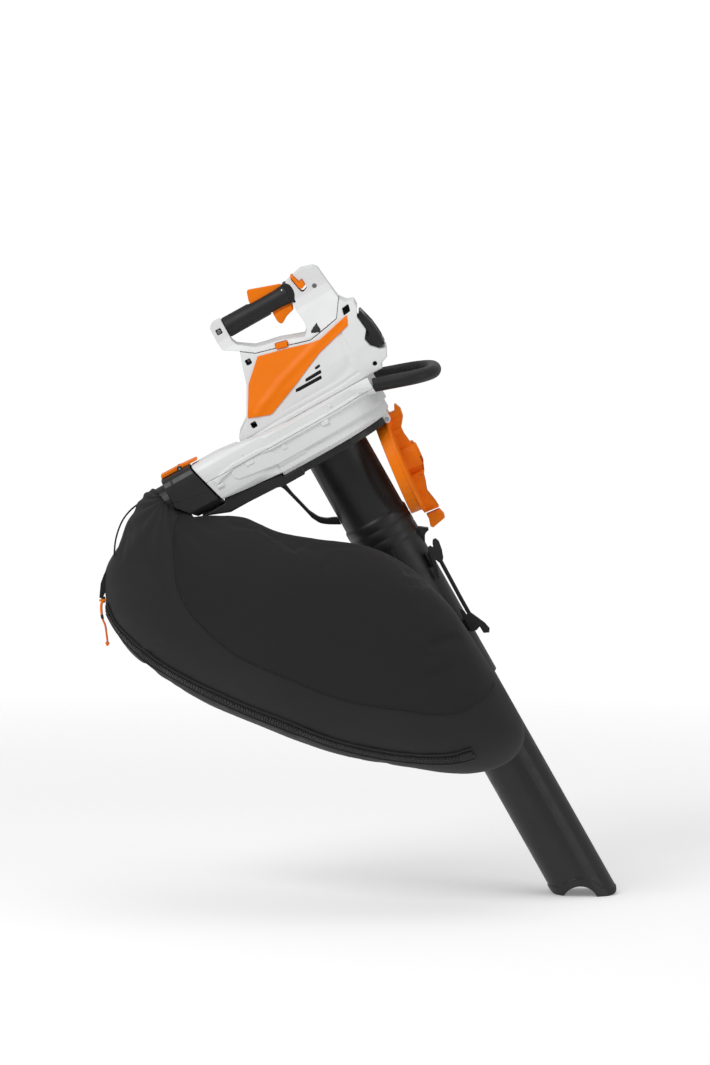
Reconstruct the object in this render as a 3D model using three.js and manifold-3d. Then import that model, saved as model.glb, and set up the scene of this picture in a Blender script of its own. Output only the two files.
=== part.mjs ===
// Cordless leaf vacuum mulcher: motor and fan head, suction tube, catcher bag.
// Millimetres, +Z up. The head is drawn upright in its own frame: its +z runs up the fan shaft,
// its +x points to the battery and y = 0 is the joint of the two shells. The whole head leans by LEAN.
// The row's origin is the middle of the main grip.
import * as THREE from "three";
import { mergeVertices } from "three/addons/utils/BufferGeometryUtils.js";
import Module from "manifold-3d";

const wasm = await Module();
wasm.setup();

// ---------------------------------------------------------------- driving sizes
const LEAN = THREE.MathUtils.degToRad(29.3); // of the tube, from upright
const GRIP = { x: -1, z: 266, radius: 18, core: 15.2, from: -61.5, to: 64 };
const GAP = 0.3; // between touching pieces
const WALL = 3.2; // of the moulded shells
const ROUND = 36; // sides of a large turned piece
const SMALL = 16; // sides of a small one

const FAN = { axisRadius: 127, throatRadius: 98, top: 82, step: 31, bottom: 8, split: 62, wheel: 88 };
const DUCT = { y0: -126, y1: -45, z0: 15, z1: 98, corner: 22, end: -222 };
const UPPER_TUBE = { radius: 54.5, inner: 51.4, top: -1, bottom: -467 };
const LOWER_TUBE = { radius: 50, inner: 47, top: -400, lipRadius: 51.8 };
const FLOOR = -766.5; // height of the nozzle's feet under the head's origin, with the head leaning
const LOOP = { y: 83, x: 110.5, z: 66, radius: 12, reach: 107, straight: 50, droop: 18.5 };
const COVER = { radius: 83, depth: 19.5, hingeX: 102, hingeZ: 0 };

// ---------------------------------------------------------------- materials
const paint = (color, roughness = 0.5, metalness = 0) =>
  new THREE.MeshStandardMaterial({ color, roughness, metalness });
const whitePlastic = paint(0xe4e5e6, 0.45);
const orangePlastic = paint(0xf07a1c, 0.45);
const blackPlastic = paint(0x2a2a2b, 0.55);
const softGrip = paint(0x303032, 0.8);
const bagFabric = paint(0x262627, 0.95);
const orangeCord = paint(0xe8701a, 0.8);
const steel = paint(0x9a9c9f, 0.35, 1);
const copper = paint(0xb87333, 0.4, 1);
const boardGreen = paint(0x1e4a33, 0.6);

// ---------------------------------------------------------------- shape helpers
// A three.js geometry as a manifold solid that faces out.
function solid(geometry) {
  const plain = geometry.index ? geometry.toNonIndexed() : geometry.clone();
  const bare = new THREE.BufferGeometry();
  bare.setAttribute("position", plain.getAttribute("position"));
  const merged = mergeVertices(bare, 1e-3);
  const vertProperties = merged.attributes.position.array;
  const triVerts = new Uint32Array(merged.index.array);
  const make = () => new wasm.Manifold(new wasm.Mesh({ numProp: 3, vertProperties, triVerts }));
  const made = make();
  if (made.volume() > 0) return made;
  for (let i = 0; i < triVerts.length; i += 3) {
    [triVerts[i + 1], triVerts[i + 2]] = [triVerts[i + 2], triVerts[i + 1]];
  }
  return make();
}

function geometryOf(body) {
  const mesh = body.getMesh();
  const geometry = new THREE.BufferGeometry();
  geometry.setAttribute("position", new THREE.BufferAttribute(mesh.vertProperties, 3));
  geometry.setIndex(new THREE.BufferAttribute(mesh.triVerts, 1));
  geometry.computeVertexNormals();
  return geometry;
}

const root = new THREE.Group();
const machine = new THREE.Group();
root.add(machine);

function part(name, body, material, group = machine) {
  const mesh = new THREE.Mesh(geometryOf(body), material);
  mesh.name = name;
  group.add(mesh);
  return mesh;
}

// An outline with rounded corners. A point is [u, v] or [u, v, radius].
function outline(points, radius = 0, smooth = 3) {
  const shape = new THREE.Shape();
  points.forEach((p, i) => {
    const here = new THREE.Vector2(p[0], p[1]);
    const before = new THREE.Vector2(...points.at(i - 1).slice(0, 2));
    const after = new THREE.Vector2(...points[(i + 1) % points.length].slice(0, 2));
    const r = p[2] ?? radius;
    const back = (to) => here.clone().lerp(to, Math.min(0.45, r / here.distanceTo(to)));
    const [a, b] = [back(before), back(after)];
    if (i === 0) shape.moveTo(a.x, a.y);
    else shape.lineTo(a.x, a.y);
    if (r > 0) shape.quadraticCurveTo(here.x, here.y, b.x, b.y);
  });
  return new THREE.Shape(shape.getPoints(smooth));
}

// The same points moved inwards by d, each edge along its own normal.
function inset(points, d) {
  const area = THREE.ShapeUtils.area(points.map(([x, y]) => ({ x, y })));
  const turn = Math.sign(area);
  return points.map((p, i) => {
    const q = points.at(i - 1);
    const s = points[(i + 1) % points.length];
    const e1 = new THREE.Vector2(p[0] - q[0], p[1] - q[1]).normalize();
    const e2 = new THREE.Vector2(s[0] - p[0], s[1] - p[1]).normalize();
    const n1 = new THREE.Vector2(-e1.y, e1.x).multiplyScalar(turn);
    const n2 = new THREE.Vector2(-e2.y, e2.x).multiplyScalar(turn);
    const mitre = n1.clone().add(n2);
    mitre.multiplyScalar((2 * d) / mitre.lengthSq());
    return [p[0] + mitre.x, p[1] + mitre.y, p[2]];
  });
}

const shapeOf = (points) => (points instanceof THREE.Shape ? points : outline(points));

// Extrusions: slab has its outline in x and z, prism in y and z, plate in x and y.
function extrude(points, depth, basis) {
  const geometry = new THREE.ExtrudeGeometry(shapeOf(points), {
    depth,
    bevelEnabled: false,
    curveSegments: 4,
  });
  return geometry.applyMatrix4(basis);
}
const slabBasis = new THREE.Matrix4().makeBasis(
  new THREE.Vector3(1, 0, 0),
  new THREE.Vector3(0, 0, 1),
  new THREE.Vector3(0, -1, 0),
);
const prismBasis = new THREE.Matrix4().makeBasis(
  new THREE.Vector3(0, 1, 0),
  new THREE.Vector3(0, 0, 1),
  new THREE.Vector3(1, 0, 0),
);
const slab = (points, y0, y1) => solid(extrude(points, y1 - y0, slabBasis).translate(0, y1, 0));
const prism = (points, x0, x1) => solid(extrude(points, x1 - x0, prismBasis).translate(x0, 0, 0));
const plate = (points, z0, z1) =>
  solid(extrude(points, z1 - z0, new THREE.Matrix4()).translate(0, 0, z0));

const box = (x0, x1, y0, y1, z0, z1) =>
  solid(
    new THREE.BoxGeometry(x1 - x0, y1 - y0, z1 - z0).translate(
      (x0 + x1) / 2,
      (y0 + y1) / 2,
      (z0 + z1) / 2,
    ),
  );

// Turned pieces: the profile is [radius, height] and closes on itself or on the axis.
function turned(profile, sides = ROUND) {
  const points = profile.map(([r, h]) => new THREE.Vector2(r, h));
  if (profile[0][0] > 0 || profile.at(-1)[0] > 0) points.push(points[0].clone());
  return solid(new THREE.LatheGeometry(points, sides).rotateX(Math.PI / 2));
}
const ring = (r0, r1, z0, z1, sides) =>
  turned([[r0, z0], [r1, z0], [r1, z1], [r0, z1]], sides);
const disc = (r, z0, z1, sides) => turned([[0, z0], [r, z0], [r, z1], [0, z1]], sides);
function rodY(x, z, r, y0, y1, sides = 16) {
  const geometry = new THREE.CylinderGeometry(r, r, y1 - y0, sides);
  return solid(geometry.translate(x, (y0 + y1) / 2, z));
}
function rodX(y, z, r, x0, x1, sides = 24) {
  const geometry = new THREE.CylinderGeometry(r, r, x1 - x0, sides).rotateZ(Math.PI / 2);
  return solid(geometry.translate((x0 + x1) / 2, y, z));
}

// A round bar along a smooth curve through the points.
function bar(points, radius, sides, steps) {
  const curve = new THREE.CatmullRomCurve3(
    points.map((p) => new THREE.Vector3(...p)),
    false,
    "centripetal",
  );
  const section = new THREE.Shape(
    Array.from({ length: sides }, (_, i) => {
      const a = (i / sides) * 2 * Math.PI;
      return new THREE.Vector2(radius * Math.cos(a), radius * Math.sin(a));
    }),
  );
  return solid(
    new THREE.ExtrudeGeometry(section, { steps, bevelEnabled: false, extrudePath: curve }),
  );
}

// A coil around the y axis.
function coil(x, z, radius, wire, y0, y1, turns) {
  const count = turns * 7;
  const points = Array.from({ length: count + 1 }, (_, i) => {
    const a = (i / 7) * 2 * Math.PI;
    return [x + radius * Math.cos(a), y0 + ((y1 - y0) * i) / count, z + radius * Math.sin(a)];
  });
  return bar(points, wire, 5, count);
}

const join = (...bodies) => bodies.reduce((a, b) => a.add(b));
const cut = (body, ...tools) => tools.reduce((a, b) => a.subtract(b), body);
const FAR = 1000;
const half = {
  near: box(-FAR, FAR, -FAR, -GAP / 2, -FAR, FAR),
  far: box(-FAR, FAR, GAP / 2, FAR, -FAR, FAR),
};
const aboveZ = (z) => box(-FAR, FAR, -FAR, FAR, z, FAR);
const belowZ = (z) => box(-FAR, FAR, -FAR, FAR, -FAR, z);
const rightOfX = (x) => box(x, FAR, -FAR, FAR, -FAR, FAR);
const leftOfX = (x) => box(-FAR, x, -FAR, FAR, -FAR, FAR);

// ---------------------------------------------------------------- shells of the head
// Side outlines, in x and z.
const seam = [[-59, 221], [-37, 206], [17, 192], [56, 181], [112, 191], [131, 218]];
const housingOutline = [
  ...seam,
  [139.5, 206.5], [151, 202], [151, 190], [143, 177], [146, 151], [136, 138], [139, 124],
  [151, 111], [161, 107], [156, 95], [141, 90], [140, 82.4], [-119, 82.4], [-131, 90],
  [-130, 98], [-106, 115], [-76, 168], [-67, 198],
];
const handleOutline = [
  [-62, 283], [-67, 285.5], [-77, 285], [-85, 280], [-86, 251], [-84, 237],
  ...seam.map(([x, z]) => [x, z + 0.5]),
  [124.5, 281], [119, 287], [99, 293.5], [92, 292], [64.4, 285],
  [64.4, 247.4], [58.4, 247.4], [58, 236], [61, 210], [58, 199], [50, 191],
  [10, 206], [-23, 213], [-33, 216], [-58, 234], [-62, 243],
];
// End outlines, in y and z: half widths at each height.
const mirrored = (profile) => [
  ...profile,
  ...profile.map(([y, z]) => [-y, z]).reverse(),
];
const housingWidth = mirrored([[72, 60], [72, 84], [67, 130], [52, 188], [42, 226]]);
const handleWidth = mirrored([[56, 160], [52, 187], [38, 212], [25, 236], [20, 252], [20, 310]]);

const REACH = { from: -150, to: 175 };
const block = (side, end, d = 0) =>
  slab(inset(side, d), -90, 90).intersect(prism(inset(end, d), REACH.from, REACH.to));

const screws = [
  { name: "screw_handle_front", x: -74, z: 267, head: -15, length: 24, square: true },
  { name: "screw_handle_rear", x: 105, z: 256, head: -15, length: 24 },
  { name: "screw_handle_base", x: 72, z: 194, head: -22, length: 30 },
  { name: "screw_housing_front", x: -54, z: 200, head: -22, length: 30, square: true },
  { name: "screw_housing_corner", x: -97, z: 104, head: -22, length: 30, square: true },
  { name: "screw_housing_rear", x: 132, z: 95, head: -22, length: 30 },
  { name: "screw_housing_top", x: 133, z: 196.5, head: -22, length: 30, square: true },
];
const SCREW = { head: 3.6, shank: 2, boss: 5.6, pocket: 4.2, thick: 3, squareBoss: 7.4, squarePocket: 4.9 };
// A round or square column along y at a screw's place.
const column = (s, round, square, y0, y1) =>
  s.square
    ? box(s.x - square, s.x + square, y0, y1, s.z - square, s.z + square)
    : rodY(s.x, s.z, round, y0, y1, 8);
const bosses = (list, outer) =>
  list.map((s) => column(s, SCREW.boss, SCREW.squareBoss, -90, 90).intersect(outer));
const pockets = (list) =>
  list.flatMap((s) => [
    column(s, SCREW.pocket, SCREW.squarePocket, -90, s.head),
    rodY(s.x, s.z, SCREW.shank + GAP, s.head - 1, s.head + s.length + 1, 6),
  ]);

const battery = { x: 80, y: 37, z0: 113, z1: 174.5 };
const bay = box(battery.x - 3, 180, -battery.y - 1.5, battery.y + 1.5, 111.5, 176);
const tray = box(battery.x - 6, 150, -battery.y - 4.5, battery.y + 4.5, 108.5, 179);

// Small outlines that several pieces share.
const buttonOutline = [[-2, 196], [0, 204.5], [20, 200], [17, 191]];
const latchOutline = [
  [77, 290.5], [80.5, 290.5], [86, 274.5], [92, 276.5], [92, 265], [84, 262], [81, 264], [76.5, 288],
];
const LATCH_TRAVEL = 5;
const ventSlots = [
  [[40, 134.5], [48, 135.5], [48, 138.5], [40, 137.5]],
  [[16, 125], [45, 126], [45, 129.5], [18, 128.5]],
  [[-5, 117.5], [41, 117], [41, 121], [-1, 121.5]],
];

function housingShells() {
  const own = screws.filter((s) => s.name.includes("housing"));
  const outer = block(housingOutline, housingWidth);
  const room = cut(block(housingOutline, housingWidth, WALL), tray, ...bosses(own, outer));
  const shell = cut(
    outer,
    room,
    bay,
    disc(20, 70, 90),
    box(139.4, 147.6, -9.6, 9.6, 95.4, 115),
    slab(inset(buttonOutline, -0.5), -90, -20),
    ...ventSlots.map((s) => slab(s, -90, 90)),
    ...pockets(own),
  );
  for (const side of ["near", "far"]) {
    part(`motor_housing_${side}`, shell.intersect(half[side]), whitePlastic);
  }
}

function handleShells() {
  const own = screws.filter((s) => s.name.includes("handle"));
  const core = rodX(0, GRIP.z, GRIP.core, -70, 72, 16);
  const outer = block(handleOutline, handleWidth);
  const room = cut(block(handleOutline, handleWidth, WALL), ...bosses(own, outer), core);
  const latchSlots = [0, 0.5, 1].map((k) =>
    slab(inset(latchOutline, -0.5), -40, 40).translate([0, 0, -k * LATCH_TRAVEL]),
  );
  const shell = cut(
    join(outer.subtract(room), core),
    box(16, 61, -7.2, 7.2, 240, 271), // trigger
    box(-10, 60, -7.2, 7.2, 262, 300), // lockout lever
    box(-33, -11, -6.4, 6.4, 256.6, 270.4), // switch
    rodY(54, 256, 2.1, -11.4, 11.4, 8),
    rodY(50, 275, 2.1, -11, 11, 8),
    slab(inset(buttonOutline, -0.5), -90, -20),
    ...latchSlots,
    ...pockets(own),
  );
  for (const side of ["near", "far"]) {
    part(`handle_shell_${side}`, shell.intersect(half[side]), whitePlastic);
  }
}

function gripSleeve() {
  const body = rodX(0, GRIP.z, GRIP.radius, GRIP.from, GRIP.to);
  const sleeve = cut(
    body,
    rodX(0, GRIP.z, GRIP.core + GAP, -90, 90),
    box(17, 62, -9.6, 9.6, 230, 258),
    box(-10.5, 60, -8, 8, 275, 300),
  );
  part("grip_sleeve", sleeve, softGrip);
}

// Orange side trims: thin panels that lie on the slanted housing sides.
function trims() {
  const shape = [
    [-36, 201], [17, 188], [52, 178], [70, 175], [130, 189], [123, 173], [59, 156],
    [31, 144], [0, 130], [-60, 106], [-66, 106], [-101, 119], [-72, 168],
  ];
  const skin = prism(inset(housingWidth, -2.2), -140, 160);
  const under = prism(inset(housingWidth, -GAP), -150, 170);
  const panel = slab(shape, -100, 100).intersect(skin).subtract(under);
  part("trim_panel_near", panel.intersect(half.near), orangePlastic);
  part("trim_panel_far", panel.intersect(half.far), orangePlastic);
}

function fasteners() {
  for (const s of screws) {
    const head = rodY(s.x, s.z, SCREW.head, s.head - SCREW.thick, s.head - GAP, 8);
    const shank = rodY(s.x, s.z, SCREW.shank, s.head - 1, s.head + s.length, 6);
    part(s.name, join(head, shank), steel);
  }
}

// ---------------------------------------------------------------- controls
function controls() {
  const triggerSide = [
    [20, 233], [23, 226.5], [27, 226], [38, 233], [48, 236], [54, 237], [58, 248],
    [59, 259], [52, 262], [24, 258], [20, 250],
  ];
  const trigger = cut(
    join(slab(outline(triggerSide, 3, 2), -6.5, 6.5), slab([
      [20.4, 233], [23.4, 227], [27, 226.4], [38, 233.4], [48, 236.4], [53, 237.4],
      [54, 246.6], [20.4, 246.6],
    ], -9, 9)),
    rodY(54, 256, 2.1, -10, 10, 8),
    rodY(54, 256, 6.4, -3.2, 3.2, 10),
  );
  part("trigger", trigger, orangePlastic);
  part("trigger_pin", rodY(54, 256, 1.8, -9.8, 9.8, 8), steel);
  part("trigger_spring", coil(54, 256, 3.6, 0.5, -2.3, 2.3, 3), steel);
  part("trigger_switch", box(-32.4, -11.4, -6, 6, 257, 270), blackPlastic);

  const lockSide = [[-6, 286], [-0.5, 303], [3, 304], [56, 286], [56, 271], [46, 270.5], [-5, 281]];
  const lock = slab(outline(lockSide, 2, 2), -6.5, 6.5).subtract(rodY(50, 275, 2.1, -9, 9, 8));
  part("lockout_lever", lock, orangePlastic);
  part("lockout_pin", rodY(50, 275, 1.8, -10.4, 10.4, 8), steel);

  part("retaining_latch", slab(latchOutline, -23, 23), orangePlastic);
  part("housing_button", slab(buttonOutline, -54, -26), orangePlastic);
}

// ---------------------------------------------------------------- battery and electronics
function electrics() {
  const side = [
    [80, 113], [152, 113], [162, 112.5], [162.5, 131], [160.5, 154], [152.5, 184],
    [149, 182], [145, 174.5], [80, 174.5],
  ];
  const pack = slab(outline(side, 2, 2), -battery.y, battery.y);
  const grooves = [-1, 1].map((s) =>
    box(79, 146, s * battery.y - 2, s * battery.y + 2, 140, 150),
  );
  part("battery_pack", cut(pack, ...grooves), blackPlastic);
  part("battery_latch", box(140, 147, -9, 9, 99, 112.2), orangePlastic);
  part("battery_terminal", box(58, 73.6, -16, 16, 128, 158), blackPlastic);
  const board = box(-46, 44, -30, 30, 167, 169);
  const chips = [-30, -8, 14].map((x) => box(x, x + 14, -12, 12, 168, 174));
  part("controller_board", join(board, ...chips), boardGreen);
}

// ---------------------------------------------------------------- motor, fan wheel and blade
function motor() {
  part("motor_plate", turned([[7, 86], [46, 86], [46, 95], [13.4, 95], [13.4, 88.3], [7, 88.3]]), steel);
  part("bearing_lower", ring(5.1, 13, 88.6, 96, SMALL), steel);
  part("motor_stator", ring(25.2, 40, 104, 146, 20), copper);
  part("rotor_core", ring(5.1, 23.6, 104, 146, SMALL), steel);
  const bell = [[7, 150], [40, 150], [40, 161], [11.4, 161], [11.4, 152.3], [7, 152.3]];
  part("motor_end_bell", turned(bell), steel);
  part("bearing_upper", ring(5.1, 11, 152.6, 160, SMALL), steel);
  part("drive_shaft", disc(4.8, 12, 163, SMALL), steel);
}

function fanWheel() {
  const hub = turned([
    [5.1, 30], [12, 30], [16, 66], [FAN.wheel, 66], [FAN.wheel, 69], [16, 69], [12, 76], [5.1, 76],
  ]);
  const blades = Array.from({ length: 8 }, (_, i) => {
    const lean = THREE.MathUtils.degToRad(25);
    const turn = (i / 8) * 2 * Math.PI;
    const blade = new THREE.BoxGeometry(50, 3, 34.5)
      .translate(25, 0, 49.25)
      .rotateZ(-lean)
      .translate(37, 0, 0)
      .rotateZ(turn);
    return solid(blade);
  });
  part("fan_wheel", join(hub, ...blades), blackPlastic);

  const star = Array.from({ length: 4 }, (_, i) => i * (Math.PI / 2)).flatMap((a) => {
    const at = (r, d) => [r * Math.cos(a + d), r * Math.sin(a + d)];
    return [at(14, -0.75), at(44, -0.16), at(44, 0.1), at(14, 0.55)];
  });
  part("shredder_blade", cut(plate(star, 26, 29.6), disc(5.1, 20, 40)), steel);
  part("hub_nut", cut(turned([[0, 16], [9, 16], [9, 25.7], [0, 25.7]], 6), disc(5.1, 10, 30)), steel);
}

// ---------------------------------------------------------------- fan housing
// The spiral wall grows from the throat round to the outlet duct.
function spiral(d) {
  const points = [];
  const [from, to, count] = [-90, 212, 34];
  for (let i = 0; i <= count; i++) {
    const deg = from + ((to - from) * i) / count;
    const grow = (deg - from) / (to - from);
    const r = FAN.axisRadius - (FAN.axisRadius - FAN.throatRadius) * grow - d;
    const a = THREE.MathUtils.degToRad(deg);
    points.push([r * Math.cos(a), r * Math.sin(a)]);
  }
  points.push([-92, DUCT.y1 - d], [-92, -FAN.axisRadius + d]);
  return points;
}
const loopDirection = new THREE.Vector3(
  Math.cos(THREE.MathUtils.degToRad(LOOP.droop)),
  0,
  -Math.sin(THREE.MathUtils.degToRad(LOOP.droop)),
);
// A point of the loop handle's middle line: s along the arm, y across.
const loopPoint = (s, y) => [LOOP.x + s * loopDirection.x, y, LOOP.z + s * loopDirection.z];

const ductSection = (d) => {
  const { y0, y1, z0, z1, corner } = DUCT;
  return outline(
    [[y0 + d, z0 + d], [y1 - d, z0 + d], [y1 - d, z1 - d], [y0 + d, z1 - d]],
    corner - d,
    4,
  );
};
const ductSide = (d) => [
  [DUCT.end, 98 - d], [-175, 98 - d], [-130, 91.5 - d], [-85, 85 - d], [-40, FAN.top - d],
  [-40, 11 + d], [-92, 14.5 + d], [-150, 18.5 + d], [-202, 25 + d],
];
// The rim between the two halves, carried on along the duct, and the raised field under it.
const ductRim = [
  [-90, 58], [-110, 61], [-160, 61], [-187, 55], [-198, 49], [-198, 57], [-187, 63], [-160, 69],
  [-110, 69], [-90, 66],
];
const ductField = [[-90, 31], [-137, 37.5], [-160, 41], [-166, 47], [-166, 60], [-90, 60]];
// The lower rim steps in towards the intake: [inset, lowest z, highest z].
const rimSteps = [[5, 14, FAN.step], [9, 11, 14], [13.5, FAN.bottom, 11]];

function fanHousing() {
  const low = rimSteps.map(([d, z0, z1]) => plate(spiral(d), z0, z1 + 1));
  const lowRoom = rimSteps.map(([d, z0, z1]) => plate(spiral(d + WALL), z0 + WALL, z1 + WALL + 1));
  const sockets = [-1, 1].map((side) => {
    const path = [loopPoint(-62, side * LOOP.y), loopPoint(10, side * LOOP.y)];
    return bar(path, 15, 12, 1).intersect(leftOfX(LOOP.x - GAP)).intersect(belowZ(FAN.top));
  });
  const flange = plate(spiral(-4), FAN.split - 4, FAN.split + 4);
  const duct = slab(ductSide(0), -140, -30).intersect(prism(ductSection(0), -230, -30));
  const ductRoom = slab(ductSide(WALL).map(([x, z]) => [x === DUCT.end ? -240 : x, z]), -140, -30)
    .add(box(-240, -195, -140, -30, 0, 120))
    .intersect(prism(ductSection(WALL), -240, -30));
  const { y0 } = DUCT;
  const outer = join(
    ...low,
    plate(spiral(0), FAN.step, FAN.top),
    flange,
    duct,
    slab(ductRim, y0 - 4, y0 + 2),
    slab(ductField, y0 - 1.6, y0 + 2),
    ...sockets,
  );
  const room = join(plate(spiral(WALL), FAN.step + WALL, FAN.top - WALL), ...lowRoom, ductRoom);
  // Lugs for the intake cover's hinge.
  const lugs = [-1, 1].map((side) => {
    const y = side * 38;
    return join(
      rodY(COVER.hingeX, COVER.hingeZ, 6.5, y - 3.5, y + 3.5, 12),
      box(COVER.hingeX - 6.5, COVER.hingeX + 6.5, y - 3.5, y + 3.5, COVER.hingeZ, 12),
    );
  });
  const underMotor = box(-137, 60, -73.6, 80, FAN.top, 110);
  const shell = cut(
    join(outer.subtract(room), ...lugs),
    underMotor,
    disc(84.5, 0, 12),
    disc(20, 70, 90),
    rodY(COVER.hingeX, COVER.hingeZ, 3.2, -50, 50, 12),
  );
  part("fan_housing_upper", shell.intersect(aboveZ(FAN.split)), whitePlastic);
  part("fan_housing_lower", shell.intersect(belowZ(FAN.split - GAP)), whitePlastic);
}

function loopHandle() {
  const curve = (k) => {
    const a = (k * Math.PI) / 2;
    const power = 2 / 2.5;
    const s = LOOP.straight + (LOOP.reach - LOOP.straight) * Math.cos(a) ** power;
    return [s, LOOP.y * Math.sin(a) ** power];
  };
  const bend = [0.97, 0.85, 0.7, 0.52, 0.34, 0.18].map(curve);
  const points = [
    loopPoint(-10, -LOOP.y),
    loopPoint(25, -LOOP.y),
    ...bend.map(([s, y]) => loopPoint(s, -y)),
    loopPoint(LOOP.reach, 0),
    ...bend.reverse().map(([s, y]) => loopPoint(s, y)),
    loopPoint(25, LOOP.y),
    loopPoint(-10, LOOP.y),
  ];
  const body = bar(points, LOOP.radius, 10, 26).intersect(rightOfX(LOOP.x + GAP));
  part("loop_handle", body, softGrip);
}

// ---------------------------------------------------------------- tube
// A point given with the machine leaning (X right, Z up) in the head's own frame.
const upright = (X, Z) => [
  X * Math.cos(LEAN) + Z * Math.sin(LEAN),
  -X * Math.sin(LEAN) + Z * Math.cos(LEAN),
];

function tubes() {
  const flangePlan = spiral(13).filter(([x]) => x > -93);
  const flange = cut(
    join(
      plate(flangePlan, -4, FAN.bottom - GAP),
      disc(84, 0, FAN.bottom + 4),
      slab([
        [-248, 16], [-201, -2], [-166, -2], [-112, -4], [-104, -7], [-60, -7],
        [-60, FAN.bottom - GAP], [-94, FAN.bottom - GAP], [-96, 13], [-150, 17.8], [-199, 23.6],
        [-201.5, 16.4],
      ], -116, -56),
    ),
    disc(50.5, -20, 20),
    disc(UPPER_TUBE.radius + GAP, -20, UPPER_TUBE.top + GAP),
    box(93, 130, -44, 44, -20, 20),
    box(76, 130, -38, 38, -20, 4),
  );
  part("tube_flange", flange, blackPlastic);

  const { radius, inner, top, bottom } = UPPER_TUBE;
  const upper = turned([
    [inner, top], [inner, bottom], [radius - 1, bottom], [radius, bottom + 2],
    [radius, -194], [57, -190], [57, -142], [radius, -138], [radius, top],
  ]);
  const lugSide = [[50, -190], [59, -192], [71, -199], [70, -203], [60, -206], [53, -218], [50, -218]];
  const lug = slab(lugSide, -8, 8);
  const lugOnTube = lug.subtract(disc(radius - 1.5, -230, -180));
  part("upper_tube", join(upper, lugOnTube), blackPlastic);

  const bracket = slab([
    [-118, -7.3], [-110, -22], [-100, -59], [-93, -88], [-86, -102, 6], [-76, -110, 6],
    [-55, -122], [-55, -108], [-62, -104, 4], [-71, -101, 5], [-82, -92, 5], [-90.5, -75],
    [-101, -34], [-104, -14, 4], [-99, -7.3],
  ], -8, 8);
  part("tube_bracket", bracket.subtract(disc(radius + GAP, -140, -80)), blackPlastic);
}

function nozzleTube() {
  const { radius, inner, top, lipRadius } = LOWER_TUBE;
  const footY = 80;
  const below = (Z) => [upright(300, Z), upright(560, Z), upright(560, Z - 90), upright(300, Z - 90)];
  const arch = { X: 419, Z: FLOOR - 12.5, radius: 30.5 };
  const [archX, archZ] = upright(arch.X, arch.Z);
  const archCut = rodY(archX, archZ, arch.radius, -footY, footY, 28);
  const lipZone = join(
    slab(below(FLOOR + 14), -footY, footY),
    rodY(archX, archZ, arch.radius + 14, -footY, footY, 28),
  );
  const lip = ring(inner, lipRadius, -930, -780).intersect(lipZone);
  const tube = ring(inner, radius, -930, top);
  // The lip's two lowest corners are rounded.
  const onFloor = (x) => [x, (FLOOR - x * Math.sin(LEAN)) / Math.cos(LEAN)];
  const rounded = slab(
    outline([
      [-lipRadius, 1 + top, 0], [lipRadius, 1 + top, 0],
      [...onFloor(lipRadius), 24], [...onFloor(-lipRadius), 9],
    ], 0, 5),
    -footY,
    footY,
  );
  const body = cut(join(tube, lip).intersect(rounded), archCut);
  part("lower_tube", body, blackPlastic);
}

// ---------------------------------------------------------------- intake cover, hanging open
// In its own frame x runs from the hinge along the cover, z out of its back.
function intakeCover() {
  const cover = new THREE.Group();
  cover.position.set(97, 0, -2);
  cover.rotation.y = THREE.MathUtils.degToRad(96.57);
  machine.add(cover);
  const hinge = { x: -2.56, z: 4.74 };
  const spine = [
    [-6, 0], [-8, 8], [-7, 20.5], [-17, 24], [-18, 26.5], [-8, 32], [6, 31], [23, 20.5], [34, 21],
    [52, 25], [58, 33],
    [74, 34], [89, 34], [93, 32], [105, 29], [110, 26], [127, 23], [139, 20], [160, 26],
    [172, 28], [172, 1], [166, 0],
  ];
  const { radius, depth } = COVER;
  const cup = join(
    ring(radius - 3, radius, -depth, 0.5),
    disc(radius, 0, 3),
  ).translate([radius, 0, 0]);
  const slots = [34, 56].flatMap((r) =>
    [1, -1].map((side) => {
      const arc = ring(r, r + 9, -5, 8, 20).translate([radius, 0, 0]);
      return arc.intersect(box(-10, 180, side > 0 ? 19 : -90, side > 0 ? 90 : -19, -10, 10));
    }),
  );
  const hub = disc(25, 1, 30, 16).translate([75, 0, 0]);
  const body = join(cut(cup, ...slots), slab(spine, -15, 15), hub);
  const knuckle = rodY(hinge.x, hinge.z, 5.5, -33.8, 33.8, 12);
  const bridge = box(-4, 12, -33.8, 33.8, 0, 6);
  const clearHinge = rodY(hinge.x, hinge.z, 3.2, -50, 50, 12);
  part("intake_cover", cut(join(body, knuckle, bridge), clearHinge), orangePlastic, cover);
  part("cover_hinge_pin", rodY(hinge.x, hinge.z, 2.9, -42, 42, 12), steel, cover);
  const latch = slab([[176, 3], [176, 27], [187, 31], [193, 30], [201, 5], [197, 1.5], [184, 4]], -13, 13);
  part("cover_latch", latch, orangePlastic, cover);
}

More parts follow.
